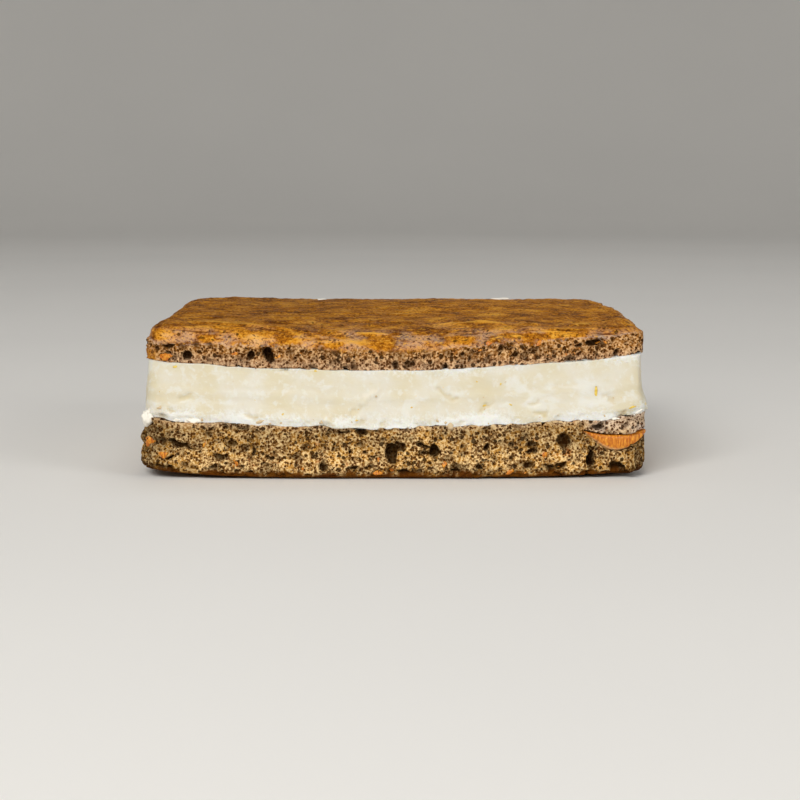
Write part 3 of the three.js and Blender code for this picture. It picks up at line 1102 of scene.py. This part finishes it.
def ice_cream_layer(look):
    """The slab of ice cream, with ragged, frosty edges at its seats."""
    tree = solid_tree("ice_cream")
    layer = Layer(tree, *ICE_CREAM_GRID, columns=1216, under=HIDDEN, over=HIDDEN, seats=(-1, 1))
    lean_ends(layer)
    lower = (look.seat_raggedness, LOWER_SEAT_SEED)
    upper = (UPPER_SEAT_SHARE * look.seat_raggedness, UPPER_SEAT_SEED, UPPER_SEAT_FALL)
    shift_seats(layer, lower, upper)
    wall = layer.wall_points
    flat = wall * [1, 1, 2.2]
    smears = 0.1 * waves(flat, 13 * MM, 41, 2) + 0.04 * ridges(flat, 11 * MM, 42)
    foot = smooth_step(-layer.up, 0.62, 0.98)[:, None]
    top = smooth_step(layer.up, 0.8, 1)[:, None]
    lumpy = waves(wall, 2.2 * MM, 44, 3)
    dent = 0.2 - smears + 0.02 * waves(wall, 1.2 * MM, 43, 2)
    dent = dent + foot * (0.22 - 0.3 * lumpy) + top * (0.02 - 0.06 * lumpy)
    layer.set_wall_dent(dent * MM)
    chips = random_pores(layer, look.chips, 0.25 * MM, 0.8 * MM, 2.5, 45)
    chips = [chip for chip in chips if layer.up[chip[0]] < -0.62 or layer.up[chip[0]] > 0.9]
    shallow = [(r, c, 1.3 * w, h, t, 0.35 * d) for r, c, w, h, t, d in chips]
    deep = cut(layer, shallow + placed_pores(layer, ICE_CREAM_MARKS), 0.4 * MM, 46)
    edge = 0.85 * smooth_step(-layer.up, 0.2, 1.0) + 0.5 * smooth_step(layer.up, 0.6, 1.0)
    patchy = 0.9 * waves(wall, 5 * MM, 47, 3)
    layer.note("hollow", layer.on_wall((deep / (0.5 * MM)).clip(0, 1)))
    layer.note("frost", layer.on_wall((edge[:, None] * (1 + patchy)).clip(0, 1)))
    return layer


# Wrinkles of the crust: x, then the way over the rounded edge to the back, length, tilt, bend,
# width and height
CRUST_STROKES = [
    (-6.6, -18.4, 12.0, 0.04, -0.3, 1.3, 0.7),
    (-28.0, -9.5, 22.0, -0.4, 0.5, 0.7, 2.2),
    (-28.6, -11.4, 22.0, -0.4, 0.5, 0.8, -1.6),
    (-34.0, -15.6, 10.0, -0.1, 0.3, 0.5, -1.4),
    (-30.0, 8.0, 18.0, 0.1, 1.6, 0.9, -1.6),
    (-20.0, 2.0, 14.0, -0.15, 1.8, 0.8, 1.4),
    (-18.0, -5.0, 12.0, -0.05, 1.0, 0.8, -2.0),
    (-6.0, -15.6, 16.0, 0.03, 0.9, 0.5, 1.6),
    (-6.0, -14.6, 17.0, 0.03, 0.9, 0.5, -1.6),
    (-12.5, -18.0, 5.0, 0.3, 0.2, 0.4, -1.4),
    (6.0, -11.0, 16.0, 0.15, 0.8, 0.8, -1.8),
    (13.0, -15.2, 12.0, 0.06, 0.4, 0.5, -1.6),
    (14.0, -6.0, 14.0, -0.15, 1.6, 0.8, 1.6),
    (27.0, -13.6, 18.0, 0.05, 0.5, 0.6, -1.8),
    (26.0, -15.4, 12.0, 0.05, 0.5, 0.5, 1.2),
    (30.0, -4.0, 16.0, -0.12, -1.4, 0.8, 1.6),
    (32.0, 6.0, 14.0, 0.2, 1.6, 0.9, -1.4),
    (4.0, -18.6, 6.0, -0.1, 0.2, 0.4, 1.2),
    (20.0, -17.8, 8.0, 0.1, 0.3, 0.4, 1.4),
    (36.0, -16.4, 9.0, -0.15, 0.3, 0.5, -1.6),
    (-39.0, -12.0, 8.0, 0.3, 0.5, 0.9, -1.4),
    (0.0, 12.0, 24.0, 0.1, 3.0, 0.9, 1.3),
]


def strokes(points, places):
    """How high wrinkles rise at points, as the sum of long strokes."""
    total = np.zeros(len(points))
    x = points[:, 0] / MM
    t = (points[:, 1] + points[:, 2]) / MM
    front = 1 - smooth_step(points[:, 1], 20 * MM, 30 * MM)
    for middle, over, length, tilt, bend, width, height in places:
        along = (x - middle) * math.cos(tilt) + (t - over) * math.sin(tilt)
        across = (t - over) * math.cos(tilt) - (x - middle) * math.sin(tilt)
        a = (2 * along / length).clip(-1, 1)
        b = (across - bend * (1 - a**2)) / (width * (1 - a**2) ** 0.5 + 0.05)
        total += height * np.exp(-(b**2)) * (1 - a**2) ** 0.5 * front
    return total


def crumb_edge(look, wall):
    """How far above its seat the upper sheet's crumb gives way to crust, along a side."""
    edge = look.crumb_band + 0.8 * MM * (wall[..., 0] / SOLID_BOX[1][0]) ** 2
    edge = edge - 1.1 * MM * smooth_step(-wall[..., 0], 28 * MM, 42 * MM)
    edge = edge + 0.5 * MM * waves(wall * [1, 1, 0.5], 7 * MM, 51, 2)
    return edge + 0.5 * MM * waves(wall, 1.1 * MM, 52, 3)


def crust_relief(points):
    """How high the crust's wrinkles and creases rise at points."""
    pushes = [waves(points, 6 * MM, seed, 2) for seed in (61, 62, 63)]
    bent = points + 1.6 * MM * np.stack(pushes, 1)
    wrinkle = ridges(bent, 9 * MM, 64) + 0.6 * ridges(bent, 4.5 * MM, 65)
    crease = ridges(bent + 5 * MM, 7 * MM, 66)
    fine = waves(points, 1.1 * MM, 68, 3)
    drawn = strokes(points + 0.35 * (bent - points), CRUST_STROKES)
    drawn = drawn * (0.85 + 0.5 * waves(points, 3 * MM, 63, 2))
    return 0.4 * wrinkle - 0.6 * crease + 0.3 * fine + drawn


def blushed(points):
    """How pale the crust is: along its shoulder and on its largest leaf-shaped wrinkle."""
    height = points[:, 2]
    shoulder = smooth_step(height, 22.4 * MM, 24 * MM) * (1 - smooth_step(height, 26 * MM, 27.4 * MM))
    leaf = strokes(points, CRUST_STROKES[:1])
    return (shoulder + 1.6 * leaf).clip(0, 1)


def upper_cake_layer(look):
    """The upper sheet: a band of crumb under a wrinkled, browned crust."""
    rim = np.arange(0.32, 5.1, 0.36) * MM
    over = (*rim[rim < INSIDE], INSIDE)
    layer = Layer(solid_tree("upper_cake"), *UPPER_GRID, under=HIDDEN, over=over, seats=(-1,))
    pull_left_end(layer, (0.3 + 0.7 * smooth_step(layer.up, -0.2, 0.5))[:, None] * MM)
    seat = (UPPER_SEAT_SHARE * look.seat_raggedness, UPPER_SEAT_SEED, UPPER_SEAT_FALL)
    shift_seats(layer, lower=seat)
    points = layer.points
    wall = layer.wall_points
    above = lift_of(layer) - crumb_edge(look, wall)
    crust = layer.on_wall(smooth_step(above, -0.6 * MM, 0.5 * MM))
    crust[layer.wall.stop :] = 1
    crust[UNDER_MIDDLE] = 0
    relief = crust_relief(points)
    swell = 0.35 * waves(points, 14 * MM, 69, 2)
    baked = (0.42 - look.wrinkles / MM * relief - swell) * MM
    uneven = 0.12 * waves(points, 5 * MM, 70, 2) + 0.1 * waves(points, 1.5 * MM, 71, 3)
    layer.dent = crust * baked + (1 - crust) * (0.2 + uneven) * MM
    layer.set_wall_dent(layer.wall_dent() + 0.12 * MM * smooth_step(-layer.up, 0.8, 1)[:, None])
    crumb_here = 1 - crust[layer.wall].reshape(layer.rows, layer.columns)
    pores = random_pores(layer, look.pores, 0.24 * MM, 0.75 * MM, 3.2, 53)
    pores = [pore for pore in pores if crumb_here[pore[0], pore[1]] > 0.4]
    deep = cut(layer, pores + placed_pores(layer, UPPER_HOLES), 0.25 * MM, 54)
    corner = 0.8 * smooth_step(-wall[..., 0], 40 * MM, 44 * MM) * (wall[..., 1] < FRONT_SIDE)
    corner = corner * smooth_step(-wall[..., 2], -24 * MM, -22.6 * MM)
    crust[layer.wall] = np.maximum(crust[layer.wall], corner.ravel())
    frosted = layer.on_wall(np.repeat(0.25 * smooth_step(-layer.up, 0.3, 1), layer.columns))
    inward = smooth_step(points[:, 1], -42 * MM, -30 * MM)
    leftward = smooth_step(-points[:, 0], -20 * MM, 20 * MM)
    # painted shade: the crust darker toward the back and the left, the crumb darker toward the left
    painted_shade = crust * inward * (0.08 + 0.12 * leftward) + (1 - crust) * (0.04 + 0.12 * leftward)
    layer.note("painted_shade", painted_shade)
    layer.note("crust", crust)
    layer.note("hollow", layer.on_wall((deep / (1.1 * MM)).clip(0, 1)))
    layer.note("relief", relief * crust)
    layer.note("pale", np.where(crust > 0.5, blushed(points), frosted))
    return layer


# Settings


def colour(name, description, red, green, blue):
    """A colour setting, given as it looks on a screen."""
    default = paint(red, green, blue)
    return FloatVectorProperty(
        name=name, description=description, default=default, subtype="COLOR", min=0, max=1
    )


def length(name, description, millimetres):
    """A length setting."""
    return FloatProperty(
        name=name, description=description, default=millimetres * MM, unit="LENGTH", min=0
    )


def share(name, description, default):
    """A setting from 0 to 1."""
    return FloatProperty(
        name=name, description=description, default=default, subtype="FACTOR", min=0, max=1
    )


class CakeLook:
    """The settings that both sheets of cake have."""

    frosted_crumb: colour("Frosted crumb", "Colour of crumb with ice cream in it", 232, 208, 184)
    shred_colour: colour("Shreds", "Colour of the fine shreds of carrot", 186, 104, 40)
    # painted shade: the colour that stands in for shade in the pores and pits and at the sheets'
    # shaded corners, foot and back
    painted_shade_colour: colour("Pores", "Colour inside the pores", 44, 22, 2)
    # painted shade that fades out round the pores
    pore_rim_shade: colour("Pore rims", "Colour of the crumb round the pores", 150, 84, 22)
    crust: colour("Crust", "Main colour of the crust", 172, 104, 18)
    gold_crust: colour("Golden crust", "Colour of the brighter patches of crust", 206, 134, 30)
    # also the painted shade in the crust's creases and along the lower sheet's foot
    dark_crust_and_shade: colour("Dark crust", "Colour of the darkest patches and creases", 98, 49, 5)
    # also the painted highlight on the crust's ridges and pale specks
    pale_crust_and_highlight: colour("Pale crust", "Colour of the ridges of the crust", 230, 168, 62)
    pore_size: length("Pore size", "Width of the common fine pores", 0.95)
    seat_raggedness: length("Uneven seats", "How far the lines between layers stray", 0.45)
    gloss: share("Gloss", "How strongly the surface mirrors light", 0.05)
    crumb_roughness: share("Crumb roughness", "Roughness of the cut crumb", 0.85)
    crust_roughness: share("Crust roughness", "Roughness of the crust", 0.56)


class LowerCakeSettings(CakeLook, bpy.types.PropertyGroup):
    """The lower sheet of cake."""

    grey_crumb: colour("Grey crumb", "Colour of the duller patches of crumb", 158, 119, 70)
    golden_crumb: colour("Golden crumb", "Colour of the warmer patches of crumb", 206, 150, 68)
    pale_crumb: colour("Pale crumb", "Colour of the thin walls between pores", 248, 213, 152)
    pores: IntProperty(name="Pores", description="Number of pores cut into the sides", default=4600)


class UpperCakeSettings(CakeLook, bpy.types.PropertyGroup):
    """The upper sheet of cake."""

    grey_crumb: colour("Grey crumb", "Colour of the duller patches of crumb", 146, 102, 56)
    golden_crumb: colour("Golden crumb", "Colour of the warmer patches of crumb", 172, 116, 54)
    pale_crumb: colour("Pale crumb", "Colour of the thin walls between pores", 224, 180, 128)
    pores: IntProperty(name="Pores", description="Number of pores cut into the sides", default=3200)
    crumb_band: length("Crumb band", "Height of the crumb in the middle of a side", 3.4)
    wrinkles: length("Wrinkles", "Height of the crust's wrinkles", 0.26)


class IceCreamSettings(bpy.types.PropertyGroup):
    """The slab of ice cream."""

    cream: colour("Cream", "Main colour", 221, 216, 201)
    yellow_cream: colour("Yellow cream", "Colour of the yellower patches", 217, 207, 178)
    white_cream: colour("White cream", "Colour of the whiter streaks", 227, 226, 218)
    frost: colour("Frost", "Colour of the frosty edges", 235, 235, 229)
    shade: colour("Shade", "Colour down in the chips", 208, 190, 142)
    seat_raggedness: length("Uneven seats", "How far the lines between layers stray", 0.45)
    roughness: share("Roughness", "Roughness of the cut face", 0.48)
    chips: IntProperty(name="Chips", description="Number of chips along the edges", default=900)


class CarrotSettings(bpy.types.PropertyGroup):
    """The slice of carrot and the small bits of it."""

    flesh: colour("Flesh", "Main colour", 206, 122, 14)
    dark: colour("Dark flesh", "Colour between the fibres", 178, 90, 4)
    pale: colour("Pale flesh", "Colour of the brightest fibres", 244, 168, 50)
    rim: colour("Rim", "Colour of the pale rim", 226, 176, 120)
    middle: length("Middle", "Where the slice hangs lowest", 39.9)
    width: length("Width", "Width of the whole slice from tip to tip", 12.2)
    hang: length("Hang", "How far the lower edge hangs below the tips", 3.3)
    sag: length("Sag", "How far the upper edge dips below the tips", 0.9)
    tip: length("Tip", "Height of the blunt tips", 0.3)
    thickness: length("Thickness", "How far the slice reaches into the cake", 2.4)


class ZestSettings(bpy.types.PropertyGroup):
    """The flecks of zest in the ice cream."""

    bright: colour("Bright", "Colour of the brightest zest", 236, 210, 104)
    deep: colour("Deep", "Colour of the deeper zest", 216, 178, 62)
    count: IntProperty(name="Count", description="Number of flecks on the sides", default=70)


class StudioSettings(bpy.types.PropertyGroup):
    """The floor, the lights and the camera."""

    floor: colour("Floor", "Colour of the floor", 240, 238, 234)
    lens: FloatProperty(name="Lens", description="Focal length", default=90.7, unit="CAMERA")
    distance: length("Distance", "From the camera to the front face", 352)
    height: length("Height", "Height of the camera over the floor", 55.8)
    right: length("Right", "How far the camera stands to the right of the middle", 1.05)
    pitch: FloatProperty(
        name="Pitch", description="How far the camera looks down", default=math.radians(6.72),
        subtype="ANGLE",
    )


class SandwichSettings(bpy.types.PropertyGroup):
    """All settings of the sandwich."""

    lower_cake: PointerProperty(type=LowerCakeSettings)
    ice_cream: PointerProperty(type=IceCreamSettings)
    upper_cake: PointerProperty(type=UpperCakeSettings)
    carrot: PointerProperty(type=CarrotSettings)
    zest: PointerProperty(type=ZestSettings)
    studio: PointerProperty(type=StudioSettings)


# Operators


def dress(piece, material, node=None):
    """Gives a piece its material and its body, and hides the solid that it stands for."""
    piece.data.materials.append(material)
    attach(piece, "root")
    if node:
        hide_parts(node)


def build_layer(node, layer, name, material):
    """Turns a layer into the piece that stands for a node, and keeps it for the small things."""
    dress(layer.finish(name), material, node)
    LAYERS[node] = layer


class SANDWICH_OT_lower_cake(bpy.types.Operator):
    """Builds the lower sheet of cake"""

    bl_idname = "sandwich.lower_cake"
    bl_label = "Lower Cake"

    def execute(self, context):
        settings = context.scene.sandwich
        layer = lower_cake_layer(settings.lower_cake, settings.carrot)
        material = cake_material("lower_cake", settings.lower_cake)
        build_layer("lower_cake", layer, "lower_cake_crumb", material)
        return {"FINISHED"}


class SANDWICH_OT_ice_cream(bpy.types.Operator):
    """Builds the slab of ice cream"""

    bl_idname = "sandwich.ice_cream"
    bl_label = "Ice Cream"

    def execute(self, context):
        look = context.scene.sandwich.ice_cream
        layer = ice_cream_layer(look)
        build_layer("ice_cream", layer, "ice_cream_slab", ice_cream_material(look))
        return {"FINISHED"}


class SANDWICH_OT_upper_cake(bpy.types.Operator):
    """Builds the upper sheet of cake with its crust"""

    bl_idname = "sandwich.upper_cake"
    bl_label = "Upper Cake"

    def execute(self, context):
        look = context.scene.sandwich.upper_cake
        layer = upper_cake_layer(look)
        build_layer("upper_cake", layer, "upper_cake_crust", cake_material("upper_cake", look))
        return {"FINISHED"}


class SANDWICH_OT_carrot(bpy.types.Operator):
    """Builds the slice of carrot and the bits of carrot in the crumb"""

    bl_idname = "sandwich.carrot"
    bl_label = "Carrot"

    def execute(self, context):
        look = context.scene.sandwich.carrot
        material = carrot_material("carrot", look)
        piece = carrot_piece(look, solid_tree("lower_cake", "carrot_slice"))
        dress(piece, material, "carrot_slice")
        bits = carrot_bits(LAYERS["lower_cake"], LAYERS["upper_cake"])
        dress(bits, material)
        return {"FINISHED"}


class SANDWICH_OT_zest(bpy.types.Operator):
    """Builds the flecks of zest in the ice cream"""

    bl_idname = "sandwich.zest"
    bl_label = "Zest"

    def execute(self, context):
        look = context.scene.sandwich.zest
        dress(zest_flecks(LAYERS["ice_cream"], look), zest_material(look))
        return {"FINISHED"}


class SANDWICH_OT_crumbs(bpy.types.Operator):
    """Builds the crumbs on the ice cream and the flakes of ice cream on the cake"""

    bl_idname = "sandwich.crumbs"
    bl_label = "Crumbs and Flakes"

    def execute(self, context):
        crumbs = stuck_crumbs(LAYERS["ice_cream"])
        dress(crumbs, bpy.data.materials["lower_cake"])
        flakes = ice_cream_flakes(LAYERS["ice_cream"])
        dress(flakes, bpy.data.materials["ice_cream"])
        return {"FINISHED"}


class SANDWICH_OT_studio(bpy.types.Operator):
    """Builds the floor, the lights and the camera"""

    bl_idname = "sandwich.studio"
    bl_label = "Studio"

    def execute(self, context):
        look = context.scene.sandwich.studio
        lay_floor(look)
        hang_lights()
        place_camera(look)
        context.scene.view_settings.view_transform = "Standard"
        return {"FINISHED"}


# Bits that the operators place

# Bits of carrot on the front, by their middle's x and z, length, width and tilt
LOWER_CARROT = [
    (-43.6, 6.5, 2.3, 2.0, 0.4),
    (-41.3, 4.5, 1.6, 1.2, 0.2),
    (-28.5, 2.7, 1.7, 1.3, 0.3),
    (-0.3, 1.6, 1.5, 1.2, 0.8),
    (9.0, 2.9, 1.0, 0.8, 0.2),
    (29.2, 1.9, 1.6, 1.0, 0.1),
    (-2.7, 1.0, 1.8, 0.8, 0.0),
    (20.6, 1.2, 1.6, 0.7, 0.2),
]
UPPER_CARROT = [
    (16.8, 24.4, 1.5, 0.9, 0.4),
    (25.7, 24.4, 1.6, 0.9, 0.5),
    (36.1, 24.1, 1.5, 1.0, 0.6),
    (-40.9, 21.7, 2.6, 1.1, 0.2),
    (32.1, 22.3, 1.0, 0.8, 0.0),
    (-28.0, 22.2, 1.2, 0.8, 0.0),
]
FRONT_ZEST = [
    (16.0, 13.2, 1.4, 0.5, 0.05),
    (35.7, 15.4, 1.7, 0.55, 1.5),
    (42.2, 12.7, 1.2, 0.4, 0.1),
    (-38.9, 19.8, 1.0, 0.6, 0.2),
    (-13.7, 19.3, 0.7, 0.4, 0.0),
    (-6.6, 10.6, 0.6, 0.35, 0.4),
    (18.7, 17.1, 0.6, 0.35, 1.2),
    (-19.7, 11.8, 0.5, 0.35, 0.6),
    (3.1, 13.0, 0.5, 0.3, 0.2),
]
FRONT_CRUMBS = [
    (-32.0, 10.1, 1.0, 0.9, 0.3),
    (-23.8, 10.3, 2.0, 0.5, 0.3),
    (-4.1, 9.2, 1.0, 0.9, 0.0),
    (9.9, 9.5, 1.3, 1.0, 1.2),
    (-41.7, 12.6, 0.9, 0.7, 0.3),
    (-12.9, 10.3, 0.8, 0.5, 0.0),
]
FRONT_FLAKES = [
    (-12.2, 8.7, 2.3, 1.4, -0.4),
    (-23.7, 9.1, 2.6, 1.2, 0.1),
    (-35.6, 10.3, 2.0, 1.0, -0.1),
    (11.8, 9.3, 1.5, 1.0, 0.2),
    (22.5, 9.6, 2.0, 0.8, 0.1),
]

# Frost on the crust, by its x, y and half axes, and the middle of a lump at the left end
TOP_FROST = [(23.0, 41.0, (1.6, 1.0, 0.3)), (-16.0, 37.0, (0.8, 0.7, 0.2))]
END_LUMP = (-44.0, -41.3, 11.0)


def carrot_bits(lower, upper):
    """Bits of carrot that show where the cake was cut."""
    places = set_by_hand(lower, LOWER_CARROT, 0.5, 0.8) + set_by_hand(upper, UPPER_CARROT, 0.5, 0.8)
    places += scattered_on(lower, 36, (0.3 * MM, 0.9 * MM, 0.6, 0.4), (0.05, 0.9), 81, 0.7)
    places += scattered_on(upper, 24, (0.25 * MM, 0.7 * MM, 0.6, 0.4), (0.05, 0.6), 82, 0.7)
    return lumps("carrot_bits", places, 3, 0.5, 83)


def zest_flecks(layer, look):
    """Flecks of zest that show in the ice cream's cut sides."""
    places = set_by_hand(layer, FRONT_ZEST, 0.5, 0.4)
    places += scattered_on(layer, look.count, (0.1 * MM, 0.6 * MM, 0.45, 0.3), (0.05, 0.97), 84)
    return lumps("zest_flecks", places, 2, 0.3, 85)


def stuck_crumbs(layer):
    """Crumbs of cake on the ice cream, most of them near the lower cake."""
    places = set_by_hand(layer, FRONT_CRUMBS, 0.7)
    places += scattered_on(layer, 70, (0.12 * MM, 0.45 * MM, 0.7, 0.6), (0.0, 0.12), 86)
    places += scattered_on(layer, 25, (0.1 * MM, 0.25 * MM, 0.7, 0.6), (0.1, 0.9), 87)
    return lumps("stuck_crumbs", places, 2, 0.5, 88)


def ice_cream_flakes(layer):
    """Lumps and flakes of ice cream that hang over the lower cake's edge."""
    places = set_by_hand(layer, FRONT_FLAKES, 0.8, 0.1)
    places += scattered_on(layer, 70, (0.2 * MM, 0.8 * MM, 0.55, 0.35), (0.0, 0.06), 89, 0.6)
    tree = solid_tree("upper_cake")
    for x, y, half in TOP_FROST:
        top = height_at(tree, x * MM, y * MM, 1) - 0.4 * MM
        places.append((np.array((x * MM, y * MM, top)), np.diag(half) * MM))
    places.append((np.array(END_LUMP) * MM, np.diag((1.0, 1.1, 1.5)) * MM))
    return lumps("ice_cream_flakes", places, 3, 0.5, 90)


# The studio


def lay_floor(look):
    """A round floor that rises to a wall far from the sandwich on every side."""
    flat, bend, top = 1.2, 0.6, 1.6
    profile = [(flat, 0)]
    for angle in np.linspace(0, math.pi / 2, 9)[1:]:
        profile.append((flat + bend * math.sin(angle), bend - bend * math.cos(angle)))
    profile.append((flat + bend, top))
    around = 96
    points = []
    for radius, height in profile:
        for turn in TAU * np.arange(around) / around:
            points.append((radius * math.cos(turn), radius * math.sin(turn), height))
    faces = faces_between(len(profile), around)
    faces.append(list(range(around)))
    floor = piece_of("studio_floor", points, faces)
    floor.location.z = -0.02 * MM
    recipe = Recipe("studio_floor", **{"Roughness": 0.85, "Specular IOR Level": 0.2})
    shade = recipe.noise(0.2, 2.0)
    colour = recipe.mix(recipe.step(shade, 0.3, 0.7, 0.0, 0.05), look.floor, (0.5, 0.5, 0.5))
    floor.data.materials.append(recipe.set(Base_Color=colour))


def soft_light(name, place, aim, size, power, colour=(1, 1, 1)):
    """A soft light at a place, turned to a point."""
    lamp = bpy.data.lights.new(name, "AREA")
    lamp.shape = "RECTANGLE"
    lamp.size, lamp.size_y = size
    lamp.energy = power
    lamp.color = colour
    light = in_scene(name, lamp)
    light.location = place
    light.rotation_euler = (Vector(aim) - Vector(place)).to_track_quat("-Z", "Y").to_euler()


def hang_lights():
    """A large soft light above the front left, one at the right and a weak one high behind."""
    aim = (0, 0, 0.01)
    soft_light("key", (-0.3, -0.85, 0.6), aim, (0.6, 0.5), 8.2, (1, 0.985, 0.96))
    soft_light("fill", (0.75, -0.6, 0.4), aim, (0.5, 0.5), 2.4)
    soft_light("back", (0.15, 0.6, 1.0), aim, (0.6, 0.4), 1.2)
    world = bpy.data.worlds.new("studio")
    world.use_nodes = True
    background = world.node_tree.nodes["Background"]
    background.inputs["Color"].default_value = (1, 1, 1, 1)
    background.inputs["Strength"].default_value = 0.18
    bpy.context.scene.world = world


def place_camera(look):
    """A camera in front of the sandwich, a little above its top."""
    data = bpy.data.cameras.new("camera")
    data.lens = look.lens
    data.sensor_width = 36
    data.clip_start = 0.01
    camera = in_scene("camera", data)
    camera.location = (look.right, SOLID_BOX[0][1] - look.distance, look.height)
    camera.rotation_euler = (math.pi / 2 - look.pitch, 0, 0)
    bpy.context.scene.camera = camera


class SANDWICH_PT_panel(bpy.types.Panel):
    """Lists the steps and the settings of the sandwich."""

    bl_idname = "SANDWICH_PT_panel"
    bl_label = "Ice Cream Sandwich"
    bl_space_type = "VIEW_3D"
    bl_region_type = "UI"
    bl_category = "Sandwich"

    def draw(self, context):
        settings = context.scene.sandwich
        for operator in STEPS:
            self.layout.operator(operator.bl_idname)
        for name in settings.bl_rna.properties.keys():
            group = getattr(settings, name)
            if isinstance(group, bpy.types.PropertyGroup):
                box = self.layout.box()
                box.label(text=name.replace("_", " ").capitalize())
                for setting in group.bl_rna.properties.keys():
                    if setting not in ("rna_type", "name"):
                        box.prop(group, setting)


STEPS = (
    SANDWICH_OT_lower_cake,
    SANDWICH_OT_ice_cream,
    SANDWICH_OT_upper_cake,
    SANDWICH_OT_carrot,
    SANDWICH_OT_zest,
    SANDWICH_OT_crumbs,
    SANDWICH_OT_studio,
)
CLASSES = (
    LowerCakeSettings,
    UpperCakeSettings,
    IceCreamSettings,
    CarrotSettings,
    ZestSettings,
    StudioSettings,
    SandwichSettings,
    *STEPS,
    SANDWICH_PT_panel,
)


def register():
    """Adds the classes and the settings to Blender."""
    for cls in CLASSES:
        bpy.utils.register_class(cls)
    bpy.types.Scene.sandwich = PointerProperty(type=SandwichSettings)


def unregister():
    """Takes the settings and the classes out of Blender."""
    del bpy.types.Scene.sandwich
    for cls in reversed(CLASSES):
        bpy.utils.unregister_class(cls)


def main():
    """Builds the sandwich."""
    register()
    bpy.ops.sandwich.lower_cake()
    bpy.ops.sandwich.ice_cream()
    bpy.ops.sandwich.upper_cake()
    bpy.ops.sandwich.carrot()
    bpy.ops.sandwich.zest()
    bpy.ops.sandwich.crumbs()
    bpy.ops.sandwich.studio()


if __name__ == "__main__":
    main()
